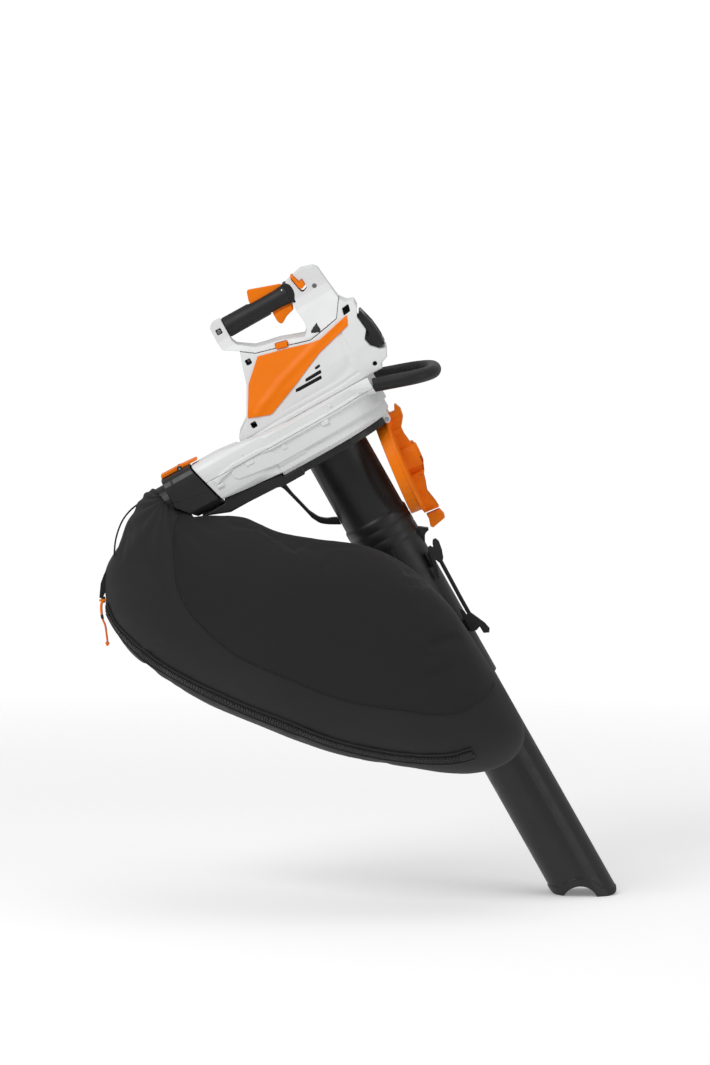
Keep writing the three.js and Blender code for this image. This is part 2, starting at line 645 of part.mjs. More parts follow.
// ---------------------------------------------------------------- bag adapter
const adapterSide = [[-278, 101.5], [-225.5, 101.5], [-203.5, 17], [-252, 19], [-278, 52]];
const collar = { y: -85, z: 60, radius: 32, bore: 28, end: -300 };
function adapter() {
  const end = { y0: -129, y1: -42, z0: 17, z1: 101.5, corner: 24 };
  const section = (d) => {
    const [y0, y1, z0, z1] = [end.y0 + d, end.y1 - d, end.z0 + d, end.z1 - d];
    return outline([[y0, z0], [y1, z0], [y1, z1], [y0, z1]], end.corner - d, 4);
  };
  const outer = slab(adapterSide, -140, -30).intersect(prism(section(0), -290, -190));
  const room = slab(inset(adapterSide, 4), -140, -30)
    .add(box(-240, -190, -140, -30, 0, 120))
    .intersect(prism(section(4), -274, -190));
  const lugs = [-103, -67].map((y) => rodY(-241, 104, 4.6, y - 2, y + 2, 12));
  const body = cut(
    join(outer, rodX(collar.y, collar.z, collar.radius, collar.end, -270), ...lugs),
    room,
    rodX(collar.y, collar.z, collar.bore, -310, -260),
    box(-240, -200, -101, -69, 99, 120),
    box(-247, -235, -91, -79, 99.6, 120),
    rodY(-241, 104, 1.9, -110, -60, 12),
  );
  part("bag_adapter", body, blackPlastic);

  const leverSide = [[-276, 103], [-275, 108.6], [-240, 108], [-208, 105.5], [-207, 102], [-236, 102.2]];
  const lever = cut(
    slab(outline(leverSide, 1.5, 2), -100.4, -69.6),
    rodY(-241, 104, 1.9, -110, -60, 12),
    box(-247, -235, -90, -80, 90, 120),
  );
  part("bag_release_lever", lever, orangePlastic);
  part("lever_pin", rodY(-241, 104, 1.6, -105.4, -64.6, 12), steel);
  part("lever_spring", coil(-241, 104, 3, 0.5, -88.5, -81.5, 3), steel);
}

// ---------------------------------------------------------------- bag and its fittings
// The bag hangs upright: these points are [X, Z] with the machine leaning.
const bagOutline = [
  [-303, -62], [-268, -95], [-220, -101], [-160, -100], [-128, -110], [-92, -124], [-30, -134],
  [60, -148], [130, -183], [186, -238], [240, -320], [300, -424], [316, -478], [288, -520],
  [220, -540], [110, -532], [0, -513], [-120, -471], [-230, -427], [-332, -359], [-381, -286],
  [-387.5, -240], [-386, -200], [-366, -156], [-330, -84],
];
const bagCurve = new THREE.CatmullRomCurve3(
  bagOutline.map(([X, Z]) => new THREE.Vector3(X, 0, Z)),
  true,
  "centripetal",
);
const BAG = { near: 115, far: 80, spineFrom: [-250, -220], spineTo: [150, -390] };
// Depth of the bag's middle plane: close to the outlet at the neck, in front of the tube further on.
const bagMiddle = (X) => -88 - 55 * THREE.MathUtils.smoothstep(X, -300, -60);
// A point of the bag's skin: t round the outline, c from its middle (0) to its edge (1).
function bagPoint(t, c, side) {
  const edge = bagCurve.getPointAt(t % 1);
  const [a, b] = [BAG.spineFrom, BAG.spineTo];
  const spine = new THREE.Line3(new THREE.Vector3(a[0], 0, a[1]), new THREE.Vector3(b[0], 0, b[1]));
  const foot = spine.closestPointToPoint(edge, true, new THREE.Vector3());
  const at = foot.clone().lerp(edge, c);
  const thick = side * (side < 0 ? BAG.near : BAG.far) * (1 - c ** 2.4) ** 0.62;
  return [at.x, bagMiddle(at.x) + thick, at.z];
}

function ringsSolid(rings) {
  const count = rings[0].length;
  const vertices = rings.flat();
  const faces = [];
  for (let r = 0; r < rings.length - 1; r++) {
    for (let i = 0; i < count; i++) {
      const j = (i + 1) % count;
      const [a, b, c, d] = [r * count + i, r * count + j, (r + 1) * count + i, (r + 1) * count + j];
      faces.push([a, b, d], [a, d, c]);
    }
  }
  for (const [start, flip] of [[0, true], [(rings.length - 1) * count, false]]) {
    const ringPoints = vertices.slice(start, start + count).map((p) => new THREE.Vector2(p[0], p[2]));
    for (const [a, b, c] of THREE.ShapeUtils.triangulateShape(ringPoints, [])) {
      const face = [start + a, start + b, start + c];
      faces.push(flip ? face : face.reverse());
    }
  }
  const geometry = new THREE.BufferGeometry();
  const flat = faces.flatMap((f) => f.flatMap((i) => vertices[i]));
  geometry.setAttribute("position", new THREE.Float32BufferAttribute(flat, 3));
  return solid(geometry);
}

const hung = new THREE.Group();
root.add(hung);
const toHung = new THREE.Matrix4().makeRotationY(-LEAN);
const lean = (body) => solid(geometryOf(body).applyMatrix4(toHung));

function bag() {
  const steps = Array.from({ length: 32 }, (_, i) => i / 32);
  const levels = [0.25, 0.6, 0.84, 0.96];
  const skin = (c, side) => steps.map((t) => bagPoint(t, c, side));
  const rings = [
    ...levels.map((c) => skin(c, -1)),
    skin(1, -1),
    ...[...levels].reverse().map((c) => skin(c, 1)),
  ];
  const clear = 1.6;
  const neckRoom = rodX(collar.y, collar.z, collar.radius + clear, collar.end - 4, -260);
  const adapterRoom = slab(inset(adapterSide, -clear), -131, -40);
  const ductRoom = slab(inset(ductSide(0), -clear), -128, -43);
  const armRoom = box(-260, -60, -118, -54, -12, 30);
  const tubeRoom = disc(62, -900, 20);
  const head = lean(join(neckRoom, adapterRoom, ductRoom, armRoom, tubeRoom));
  part("bag", ringsSolid(rings).subtract(head), bagFabric, hung);
}

// The zip runs inside the bag's lower edge on the near side, and ends on the edge at the left.
const ZIP = { from: 0.478, to: 0.88, level: 0.77, end: 0.985, proud: 5.3 };
function zipPoint(k) {
  const t = ZIP.from + (ZIP.to - ZIP.from) * k;
  const level = ZIP.level + (ZIP.end - ZIP.level) * k ** 6 - 0.06 * (1 - k) ** 10;
  const at = new THREE.Vector3(...bagPoint(t, level, -1));
  const along = new THREE.Vector3(...bagPoint(t + 0.004, level, -1)).sub(at);
  const across = new THREE.Vector3(...bagPoint(t, level + 0.01, -1)).sub(at);
  const out = along.cross(across).normalize();
  return at.addScaledVector(out, ZIP.proud);
}
function zip() {
  const path = Array.from({ length: 17 }, (_, i) => zipPoint(i / 16).toArray());
  part("zipper", bar(path, 3, 6, 18), blackPlastic, hung);
  const [x, y, z] = path.at(-1);
  part("zipper_slider", box(x - 4.5, x + 3.5, y - 4, y + 4, z + 3.5, z + 15), blackPlastic, hung);
  const cord = zipCord.map(([dx, dz]) => [x + dx, y - 6.2, z + dz]);
  part("zipper_pull_cord", bar(cord, 1.75, 8, 10), orangeCord, hung);
  const [kx, ky, kz] = cord.at(-1);
  const knot = new THREE.SphereGeometry(4.5, 10, 8).translate(kx, ky, kz - 5);
  part("zipper_pull_knot", solid(knot), orangeCord, hung);
}

// The orange pull cord hangs from the slider: x and z from the zip's end.
const zipCord = [[-0.5, 8], [-3.5, 2], [-3.5, -11], [-1, -24], [3, -34], [5, -48], [6.5, -60]];
// Thin cord loop at the bag's upper corner.
const bagLoop = [
  [-327, -93, -86], [-338, -95, -93.5], [-348, -97, -103], [-357, -101, -115], [-363, -104, -128],
  [-367.5, -108, -142], [-370, -113, -156], [-371, -121, -174],
];
// Elastic band between the two hooks, beside the tube; in the head's own frame.
const strapBand = [[63.5, -40, -256], [63, -40, -281], [62.5, -40, -306], [62, -40, -331], [62, -40, -356]];

function fittings() {
  part("bag_loop_cord", bar(bagLoop, 1.5, 8, 14), bagFabric, hung);
  part("strap_band", bar(strapBand, 3.5, 8, 12), bagFabric);
  const upperHook = [
    [59.5, -255.7], [67.5, -255.7], [70.5, -252], [75, -239], [77.5, -224], [75, -217], [70, -216.5],
    [66.5, -221], [63.5, -229], [61, -223.5], [55.5, -224], [52, -238], [45, -268], [44.5, -279],
    [48.5, -279], [53.5, -264], [57, -248],
  ];
  const lowerHook = [
    [52, -340], [57, -349], [57, -356.3], [65, -356.3], [69.5, -366], [77.5, -384], [80, -396],
    [76, -402], [67, -398], [66.6, -385], [59.4, -388], [49.5, -386], [49, -359],
  ];
  // Each hook's pad rests on the tube.
  const hook = (shape, top, bottom) =>
    join(slab(shape, -44, -36), box(45, 54, -37, -25, bottom, top)).subtract(
      disc(UPPER_TUBE.radius + GAP, -460, -192),
    );
  part("strap_hook_upper", hook(upperHook, -232, -258), blackPlastic);
  part("strap_hook_lower", hook(lowerHook, -362, -384), blackPlastic);
}

// ---------------------------------------------------------------- assembly
machine.rotation.y = -LEAN;
const gripPoint = new THREE.Vector3(GRIP.x, 0, GRIP.z).applyAxisAngle(new THREE.Vector3(0, 1, 0), -LEAN);
machine.position.copy(gripPoint).negate();
hung.position.copy(gripPoint).negate();

housingShells();
handleShells();
gripSleeve();
trims();
fasteners();
controls();
electrics();
motor();
fanWheel();
fanHousing();
loopHandle();
tubes();
nozzleTube();
intakeCover();
adapter();
bag();
zip();
fittings();

export default root;
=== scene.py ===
# Cordless leaf vacuum mulcher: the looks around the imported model. Metres, row frame, +Z up.
# Lengths written with MM are millimetres. The head leans by LEAN, so most hard pieces are drawn
# upright in the head's own frame (+z up the fan shaft, +x to the battery) and then leaned.
import math

import bmesh
import bpy
import numpy as np
from mathutils import Matrix, Vector, noise
from mathutils.bvhtree import BVHTree


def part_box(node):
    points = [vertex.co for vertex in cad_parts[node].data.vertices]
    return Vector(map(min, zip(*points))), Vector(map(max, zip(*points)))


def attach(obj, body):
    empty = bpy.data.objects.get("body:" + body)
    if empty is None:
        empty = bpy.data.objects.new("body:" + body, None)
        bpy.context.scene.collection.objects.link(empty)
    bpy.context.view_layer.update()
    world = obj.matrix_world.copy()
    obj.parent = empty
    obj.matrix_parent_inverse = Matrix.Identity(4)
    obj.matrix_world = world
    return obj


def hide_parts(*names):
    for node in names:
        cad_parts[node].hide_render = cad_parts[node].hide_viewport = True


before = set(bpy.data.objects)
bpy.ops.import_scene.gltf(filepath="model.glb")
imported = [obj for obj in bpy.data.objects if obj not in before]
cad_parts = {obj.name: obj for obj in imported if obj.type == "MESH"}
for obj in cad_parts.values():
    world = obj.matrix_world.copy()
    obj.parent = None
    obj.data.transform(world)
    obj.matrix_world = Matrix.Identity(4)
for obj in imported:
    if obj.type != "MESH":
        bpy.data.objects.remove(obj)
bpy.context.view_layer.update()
scene = bpy.context.scene

MM = 0.001
LEAN = math.radians(29.3)
ORIGIN = Vector((0.131047, 0, -0.231481))  # the head's own origin in the row frame
FLOOR_Z = ORIGIN.z - 766.5 * MM
HUNG = Matrix.Translation(ORIGIN) @ Matrix.Scale(MM, 4)
HEAD = HUNG @ Matrix.Rotation(-LEAN, 4, "Y")

# ---------------------------------------------------------------- camera
TARGET = Vector((0.166, 0, -0.379))
CAMERA_AWAY = 14.0
ELEVATION = math.radians(6.5)
FRAME_HEIGHT = 1.8105
camera = bpy.data.objects.new("camera", bpy.data.cameras.new("camera"))
scene.collection.objects.link(camera)
camera.location = TARGET + CAMERA_AWAY * Vector((0, -math.cos(ELEVATION), math.sin(ELEVATION)))
camera.rotation_mode = "QUATERNION"
camera.rotation_quaternion = (TARGET - camera.location).to_track_quat("-Z", "Y")
camera.data.lens = camera.data.sensor_width * CAMERA_AWAY / FRAME_HEIGHT
camera.data.clip_end = 200
scene.camera = camera


# ---------------------------------------------------------------- materials
def nodes_of(name):
    material = bpy.data.materials.new(name)
    material.use_nodes = True
    tree = material.node_tree
    shader = next(n for n in tree.nodes if n.type == "BSDF_PRINCIPLED")
    return material, tree, shader


def settle(node, **values):
    """Sets a thing's own settings, and a node's inputs, which are named with _ for each space."""
    for key, value in values.items():
        if hasattr(node, key):
            setattr(node, key, value)
        else:
            node.inputs[key.replace("_", " ")].default_value = value
    return node


def add(tree, kind, **values):
    return settle(tree.nodes.new(kind), **values)


def noise_node(tree, scale, detail=2.0):
    where = add(tree, "ShaderNodeTexCoord")
    texture = add(tree, "ShaderNodeTexNoise", Scale=scale, Detail=detail)
    tree.links.new(where.outputs["Object"], texture.inputs["Vector"])
    return texture.outputs["Fac"]


def ramp_between(tree, source, low, high, start=0.35, end=0.65):
    ramp = add(tree, "ShaderNodeMapRange", From_Min=start, From_Max=end, To_Min=low, To_Max=high)
    tree.links.new(source, ramp.inputs["Value"])
    return ramp.outputs["Result"]


def mixed(tree, factor, a, b):
    mix = add(tree, "ShaderNodeMix", data_type="RGBA")
    for key, value in ((0, factor), (6, a), (7, b)):
        if hasattr(value, "links"):
            tree.links.new(value, mix.inputs[key])
        else:
            mix.inputs[key].default_value = value if key == 0 else (*value, 1)
    return mix.outputs[2]


def shade(colour, k):
    return tuple(min(1, c * k) for c in colour)


def raised(tree, shader, height, strength, distance):
    """Fine relief on a shader, from a height."""
    bump = add(tree, "ShaderNodeBump", Strength=strength, Distance=distance)
    tree.links.new(height, bump.inputs["Height"])
    tree.links.new(bump.outputs["Normal"], shader.inputs["Normal"])


def plastic(name, colour, roughness, grain=2600, depth=0.2, wear=1.2, specular=0.5):
    """Moulded plastic: spark-eroded grain, slightly uneven gloss, paler rubbed edges."""
    material, tree, shader = nodes_of(name)
    dust = ramp_between(tree, noise_node(tree, 9, 3), 0, 1)
    body = mixed(tree, dust, shade(colour, 0.97), shade(colour, 1.03))
    geometry = add(tree, "ShaderNodeNewGeometry")
    rubbed = ramp_between(tree, geometry.outputs["Pointiness"], 0, 0.5, 0.53, 0.6)
    tree.links.new(mixed(tree, rubbed, body, shade(colour, wear)), shader.inputs["Base Color"])
    gloss = ramp_between(tree, noise_node(tree, 45, 3), roughness - 0.04, roughness + 0.05)
    tree.links.new(gloss, shader.inputs["Roughness"])
    raised(tree, shader, noise_node(tree, grain), depth, 0.0002)
    settle(shader, Specular_IOR_Level=specular)
    return material


def metal(name, colour, roughness, brushed=300):
    material, tree, shader = nodes_of(name)
    streak = noise_node(tree, brushed, 4)
    tree.links.new(mixed(tree, streak, shade(colour, 0.8), colour), shader.inputs["Base Color"])
    gloss = ramp_between(tree, streak, roughness - 0.08, roughness + 0.1)
    tree.links.new(gloss, shader.inputs["Roughness"])
    settle(shader, Metallic=1)
    return material


def woven(tree, pitch):
    """Height of a plain weave: two sets of threads, one over the other."""
    where = add(tree, "ShaderNodeTexCoord")
    heights = []
    for turn in (0.0, math.pi / 2):
        mapping = add(tree, "ShaderNodeMapping", Rotation=(0, turn + 0.5, 0))
        wave = add(tree, "ShaderNodeTexWave", Scale=0.314 / pitch, Distortion=0.6, Detail=1)
        tree.links.new(where.outputs["Object"], mapping.inputs["Vector"])
        tree.links.new(mapping.outputs["Vector"], wave.inputs["Vector"])
        heights.append(wave.outputs["Fac"])
    both = add(tree, "ShaderNodeMath", operation="MULTIPLY")
    tree.links.new(heights[0], both.inputs[0])
    tree.links.new(heights[1], both.inputs[1])
    return both.outputs[0]


def cloth(name, colour, panel=None, pitch=0.0011, sheen=0.25):
    """Woven polyester. Where the mesh has a "panel" attribute, that area takes the second colour."""
    material, tree, shader = nodes_of(name)
    weave = woven(tree, pitch)
    uneven = ramp_between(tree, noise_node(tree, 7, 4), 0.0, 1.0)
    base = mixed(tree, uneven, shade(colour, 0.88), shade(colour, 1.12))
    if panel:
        inside = add(tree, "ShaderNodeAttribute", attribute_name="panel")
        base = mixed(tree, inside.outputs["Fac"], base, panel)
    threads = mixed(tree, weave, shade(colour, 0.75), shade(colour, 1.3))
    tree.links.new(mixed(tree, 0.35, base, threads), shader.inputs["Base Color"])
    settle(shader, Roughness=0.82, Sheen_Weight=sheen, Sheen_Roughness=0.45, Specular_IOR_Level=0.35)
    raised(tree, shader, weave, 0.5, 0.0003)
    return material


WHITE = plastic("white_moulding", (0.80, 0.805, 0.81), 0.42, wear=1.04, specular=0.4)
ORANGE = plastic("orange_moulding", (0.97, 0.212, 0.003), 0.42, wear=1.06, specular=0.16)
BLACK = plastic("black_moulding", (0.0135, 0.0135, 0.0138), 0.40, wear=1.9, specular=0.42)
PACK = plastic("battery_moulding", (0.018, 0.018, 0.019), 0.36, wear=2.0)
GRIP = plastic("grip_rubber", (0.0105, 0.0105, 0.0108), 0.52, grain=1500, depth=0.36, wear=1.4,
               specular=0.4)
# Near black: the dark of the joint between handle and housing, and painted shade in the vent slots.
GAP_BLACK_AND_PAINTED_SHADE = plastic("gap_black_and_painted_shade", (0.004, 0.004, 0.004), 0.6, specular=0.25)
# Dark grey: painted shade that lines the screw recesses and the two hollows.
RECESS_PAINTED_SHADE = plastic("recess_painted_shade", (0.030, 0.031, 0.033), 0.45, specular=0.5)
INNER = plastic("inner_moulding", (0.03, 0.03, 0.031), 0.5)
BOARD = plastic("board_resin", (0.012, 0.07, 0.03), 0.35)
STEEL = metal("bright_steel", (0.62, 0.63, 0.65), 0.3)
DARK_STEEL = metal("blackened_steel", (0.16, 0.16, 0.17), 0.4)
ZINC = metal("zinc_screw", (0.36, 0.365, 0.37), 0.36)
COPPER = metal("copper_windings", (0.72, 0.33, 0.14), 0.35, 900)
BAG = cloth("bag_cloth", (0.0150, 0.0150, 0.0153), panel=(0.0090, 0.0090, 0.0092), sheen=0.06)
BINDING = cloth("binding_tape", (0.010, 0.010, 0.0103), pitch=0.0008, sheen=0.1)
ZIP_TAPE = cloth("zip_tape_weave", (0.008, 0.008, 0.0083), pitch=0.0007, sheen=0.05)
ZIP_TEETH = plastic("zip_teeth_plastic", (0.012, 0.012, 0.0125), 0.3)
STITCH = cloth("stitch_thread", (0.016, 0.016, 0.016), pitch=0.0006)
BLACK_CORD = cloth("black_cord_braid", (0.014, 0.014, 0.0145), pitch=0.0009, sheen=0.1)
ORANGE_CORD = cloth("orange_cord_braid", (0.82, 0.17, 0.02), pitch=0.0009, sheen=0.1)


# ---------------------------------------------------------------- mesh helpers
def link(name, mesh):
    thing = bpy.data.objects.new(name, mesh)
    scene.collection.objects.link(thing)
    return thing


def from_lists(name, points, faces, where=None):
    mesh = bpy.data.meshes.new(name)
    mesh.from_pydata([tuple(p) for p in points], [], faces)
    if where is not None:
        mesh.transform(where)
    mesh.validate()
    work = bmesh.new()
    work.from_mesh(mesh)
    bmesh.ops.recalc_face_normals(work, faces=work.faces)
    work.to_mesh(mesh)
    work.free()
    return link(name, mesh)


def made_from(work, name, where):
    """An object with the mesh of a bmesh, which is freed."""
    mesh = bpy.data.meshes.new(name)
    work.to_mesh(mesh)
    work.free()
    mesh.transform(where)
    return link(name, mesh)


def circle(sides):
    """Cosine and sine at even steps round a circle."""
    turns = [2 * math.pi * k / sides for k in range(sides)]
    return [(math.cos(a), math.sin(a)) for a in turns]


def band(a, b, sides):
    """Faces between two closed rings, whose points start at a and at b in a list."""
    return [(a + k, a + (k + 1) % sides, b + (k + 1) % sides, b + k) for k in range(sides)]


def bands(rows, sides, base=0):
    """Faces between closed rings of points that follow each other in a list."""
    starts = [base + row * sides for row in range(rows)]
    return [face for a, b in zip(starts, starts[1:]) for face in band(a, b, sides)]


def bar_faces(rows, base=0):
    """Faces of a four-sided bar, which is given as rings of four points, with its two ends."""
    last = base + (rows - 1) * 4
    ends = [(base + 3, base + 2, base + 1, base), (last, last + 1, last + 2, last + 3)]
    return bands(rows, 4, base) + ends


def modify(thing, kind, **values):
    return settle(thing.modifiers.new(kind.lower(), kind), **values)


def applied(thing):
    """The piece with its modifiers made part of its mesh."""
    bpy.context.view_layer.update()
    graph = bpy.context.evaluated_depsgraph_get()
    mesh = bpy.data.meshes.new_from_object(thing.evaluated_get(graph))
    thing.modifiers.clear()
    old = thing.data
    thing.data = mesh
    bpy.data.meshes.remove(old)
    return thing


def soften(thing, width, segments=3):
    """Rounds a piece's edges by a width in millimetres."""
    modify(thing, "BEVEL", width=width * MM, segments=segments, limit_method="ANGLE")


def carve(thing, cutter):
    modify(thing, "BOOLEAN", operation="DIFFERENCE", solver="EXACT", object=cutter)
    applied(thing)


def smooth(thing, angle=None):
    thing.data.shade_smooth()
    if angle is not None:
        thing.data.set_sharp_from_angle(angle=math.radians(angle))
    return thing


def piece(thing, body, slot, material, *stands_for):
    thing.data.materials.clear()
    thing.data.materials.append(material)
    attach(thing, body)
    if stands_for:
        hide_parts(*stands_for)
    return thing


def smooth_piece(thing, slot, material, *stands_for, body="head", angle=40):
    """A piece shaded smooth, with sharp edges above an angle in degrees where one is given."""
    smooth(thing, angle)
    return piece(thing, body, slot, material, *stands_for)


def per_point(mesh, what):
    flat = np.empty(len(mesh.vertices) * 3, np.float32)
    mesh.vertices.foreach_get(what, flat)
    return flat.reshape(-1, 3).astype(float)


def coords(mesh):
    return per_point(mesh, "co")


def normals_of(mesh):
    return per_point(mesh, "normal")


def set_coords(mesh, points):
    mesh.vertices.foreach_set("co", points.astype(np.float32).ravel())
    mesh.update()


def carried(matrix, points):
    """Rows of points moved by a matrix."""
    m = np.array(matrix, float)
    return points @ m[:3, :3].T + m[:3, 3]


def in_head(points):
    """Row-frame points in the head's own frame, in millimetres."""
    return carried(HEAD.inverted(), points)


def from_head(points):
    return carried(HEAD, points)


def block(name, low, high, radius=1.0, where=HEAD):
    """A box with rounded edges, its corners in millimetres."""
    work = bmesh.new()
    bmesh.ops.create_cube(work, size=1)
    size = [b - a for a, b in zip(low, high)]
    middle = [(a + b) / 2 for a, b in zip(low, high)]
    for v in work.verts:
        v.co = Vector([c * s + m for c, s, m in zip(v.co, size, middle)])
    if radius:
        bmesh.ops.bevel(work, geom=work.edges[:], offset=radius, segments=3,
                        affect="EDGES", profile=0.5)
    return made_from(work, name, where)


def extruded(name, side, y0, y1, radius=1.0, where=HEAD, segments=3, angle=30):
    """A flat outline in x and z, run from y0 to y1, its edges rounded."""
    work = bmesh.new()
    ring = [work.verts.new((x, y0, z)) for x, z in side]
    face = work.faces.new(ring)
    out = bmesh.ops.extrude_face_region(work, geom=[face])
    for v in (g for g in out["geom"] if isinstance(g, bmesh.types.BMVert)):
        v.co.y = y1
    bmesh.ops.recalc_face_normals(work, faces=work.faces)
    thing = made_from(work, name, where)
    if radius:
        modify(thing, "BEVEL", width=radius * MM, segments=segments, limit_method="ANGLE",
               angle_limit=math.radians(angle))
        applied(thing)
    smooth(thing, 45)
    return thing


def moulded(node, body, slot, material, voxel, rounds, sculpt=None, keep=0.45, cuts=()):
    """A CAD node's shape with the soft edges of a moulding."""
    thing = link(node + "_moulding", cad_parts[node].data.copy())
    for cutter in cuts:
        carve(thing, cutter)
    modify(thing, "REMESH", mode="VOXEL", voxel_size=voxel * MM, adaptivity=0)
    modify(thing, "SMOOTH", factor=0.5, iterations=rounds)
    applied(thing)
    if sculpt:
        local = in_head(coords(thing.data))
        set_coords(thing.data, from_head(sculpt(local, normals_of(thing.data))))
    modify(thing, "DECIMATE", ratio=keep)
    applied(thing)
    smooth(thing)
    return piece(thing, body, slot, material, node)


def lathe(name, profile, where, sides=96, closed=True):
    """Turned piece about z: the profile is [radius, height] in millimetres."""
    faces = []
    count = len(profile)
    points = [(r * c, r * s, h) for c, s in circle(sides) for r, h in profile]
    for i in range(sides):
        j = (i + 1) % sides
        for k in range(count if closed else count - 1):
            m = (k + 1) % count
            faces.append((i * count + k, j * count + k, j * count + m, i * count + m))
    return from_lists(name, points, faces, where)


def frames_along(path):
    """Tangent, side and up at each point of a path, turning as little as possible."""
    tangents = []
    for i, here in enumerate(path):
        before, after = path[max(0, i - 1)], path[min(len(path) - 1, i + 1)]
        tangents.append((after - before).normalized())
    side = tangents[0].orthogonal().normalized()
    frames = []
    for tangent in tangents:
        side = (side - tangent * side.dot(tangent)).normalized()
        frames.append((tangent, side, tangent.cross(side)))
    return frames


def spline_at(p, u):
    """The point at share u from p[1] to p[2] on a smooth curve; p[0] and p[3] are their neighbours."""
    return 0.5 * (2 * p[1] + (p[2] - p[0]) * u + (2 * p[0] - 5 * p[1] + 4 * p[2] - p[3]) * u * u
                  + (3 * p[1] - p[0] - 3 * p[2] + p[3]) * u ** 3)


def catmull(points, count):
    """A smooth curve through the points, at even steps of its parameter."""
    out = []
    spans = len(points) - 1
    for i in range(count):
        t = i * spans / (count - 1)
        k = min(int(t), spans - 1)
        p = [Vector(points[min(max(k + d, 0), spans)]) for d in (-1, 0, 1, 2)]
        out.append(spline_at(p, t - k))
    return out


def tube_along(name, path, radius, sides=24, where=None, caps=True):
    """A round bar along a path. Radius is a number or a function of the share of the path."""
    points = []
    path = [Vector(p) for p in path]
    for i, (here, (_, side, up)) in enumerate(zip(path, frames_along(path))):
        r = radius(i / (len(path) - 1)) if callable(radius) else radius
        points += [here + side * r * c + up * r * s for c, s in circle(sides)]
    faces = bands(len(path), sides)
    if caps:
        faces.append(tuple(range(sides))[::-1])
        faces.append(tuple((len(path) - 1) * sides + k for k in range(sides)))
    return from_lists(name, points, faces, where)


def curve_cord(name, points, radius, slot, material, *stands_for):
    """A cord as a curve of one open spline, its points in metres."""
    data = bpy.data.curves.new(name, "CURVE")
    settle(data, dimensions="3D", bevel_depth=radius, bevel_resolution=4, use_fill_caps=True)
    spline = data.splines.new("POLY")
    spline.points.add(len(points) - 1)
    for knot_point, p in zip(spline.points, points):
        knot_point.co = (*p, 1)
    return piece(link(name, data), "head", slot, material, *stands_for)


def hung_path(points, count):
    """A cord's smooth line from its given points, which are in millimetres where it hangs."""
    return [HUNG @ p for p in catmull(points, count)]


def length_of(path):
    return sum((b - a).length for a, b in zip(path, path[1:]))


# ---------------------------------------------------------------- cords
ZIP_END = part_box("zipper_slider")
slider_middle = (ZIP_END[0] + ZIP_END[1]) / 2
# The zip's own end, which the pull cord is measured from.
zip_tip = HUNG.inverted() @ slider_middle + Vector((0.5, 0, -9.25))
pull_steps = [(-0.5, 8), (-3.5, 2), (-3.5, -11), (-1, -24), (3, -34), (5, -48), (6.5, -60)]
pull_route = [(zip_tip.x + dx, zip_tip.y - 6.2, zip_tip.z + dz) for dx, dz in pull_steps]
pull_path = hung_path(pull_route, 24)
pull = curve_cord("pull_cord", pull_path, 1.75 * MM, "orange_cord", ORANGE_CORD, "zipper_pull_cord")

loop_route = [
    (-327, -93, -86), (-338, -95, -93.5), (-348, -97, -103), (-357, -101, -115),
    (-363, -104, -128), (-367.5, -108, -142), (-370, -113, -156), (-371, -121, -174),
]
loop_path = hung_path(loop_route, 24)
bag_loop = curve_cord("bag_loop", loop_path, 1.5 * MM, "black_cord", BLACK_CORD, "bag_loop_cord")

band_route = [
    (63.5, -40, -256), (63, -40, -281), (62.5, -40, -306), (62, -40, -331), (62, -40, -356),
]
band_path = [HEAD @ p for p in catmull(band_route, 20)]
elastic = curve_cord("elastic_band", band_path, 3.5 * MM, "black_cord", BLACK_CORD, "strap_band")


# ---------------------------------------------------------------- moulded shells
def distance_to_line(x, z, points):
    """Distance from points to a chain of straight lines, in the head's x and z."""
    best = np.full(len(x), 1e9)
    for (ax, az), (bx, bz) in zip(points, points[1:]):
        dx, dz = bx - ax, bz - az
        t = np.clip(((x - ax) * dx + (z - az) * dz) / (dx * dx + dz * dz), 0, 1)
        best = np.minimum(best, np.hypot(x - ax - t * dx, z - az - t * dz))
    return best


def soft_step(value, low, high):
    t = np.clip((value - low) / (high - low), 0, 1)
    return t * t * (3 - 2 * t)


def side_push(local, normals, amount, outer=24):
    """Moves the outer skin that faces sideways in or out along y."""
    facing = soft_step(np.abs(normals[:, 1]), 0.35, 0.7) * (np.abs(local[:, 1]) > outer)
    facing = facing * (np.sign(normals[:, 1]) == np.sign(local[:, 1]))
    out = local.copy()
    out[:, 1] += np.sign(local[:, 1]) * amount * facing
    return out


# A wide shallow dish on the housing's side, and the swelling round the corner screw.
DISH_EDGE = [(118, 186), (104, 160), (101, 128), (92, 112), (60, 103), (10, 97), (-40, 92)]
CORNER_SWELL = (132, 95)
FOOT_CREASE = [(-118, 88), (-60, 91), (60, 92), (100, 96)]


def sculpt_housing(local, normals):
    x, z = local[:, 0], local[:, 2]
    from_edge = distance_to_line(x, z, DISH_EDGE)
    inside = (z > 100) & (x < 108)
    dish = -1.6 * soft_step(12 - from_edge, 0, 12) * inside
    swell = 2.2 * soft_step(30 - np.hypot(x - CORNER_SWELL[0], z - CORNER_SWELL[1]), 0, 26)
    crease = -1.2 * soft_step(3.2 - distance_to_line(x, z, FOOT_CREASE), 0, 2.6)
    return side_push(local, normals, dish + swell + crease)


TRIM_CREASE = [(-84, 118), (-21, 146), (45, 166), (110, 186)]


def sculpt_trim(local, normals):
    x, z = local[:, 0], local[:, 2]
    ridge = 2.0 * (1 - soft_step(distance_to_line(x, z, TRIM_CREASE), 0, 11))
    return side_push(local, normals, ridge)


# The three-cornered hollow round the screw at the foot of the handle.
HOLLOW_SIDE = [(79, 202), (64, 194.5), (62.5, 191), (76, 184.5), (79, 187)]
HOLLOW_FLOOR = -45

# The bag adapter: a ledge with a lower band under it, and a short joint line.
ADAPTER_LEDGE = [(-277, 60.6), (-245.6, 52.8), (-205.8, 48.4)]
ADAPTER_JOINT = [(-262, 98), (-263, 85.4), (-266, 74.1), (-264.8, 60)]


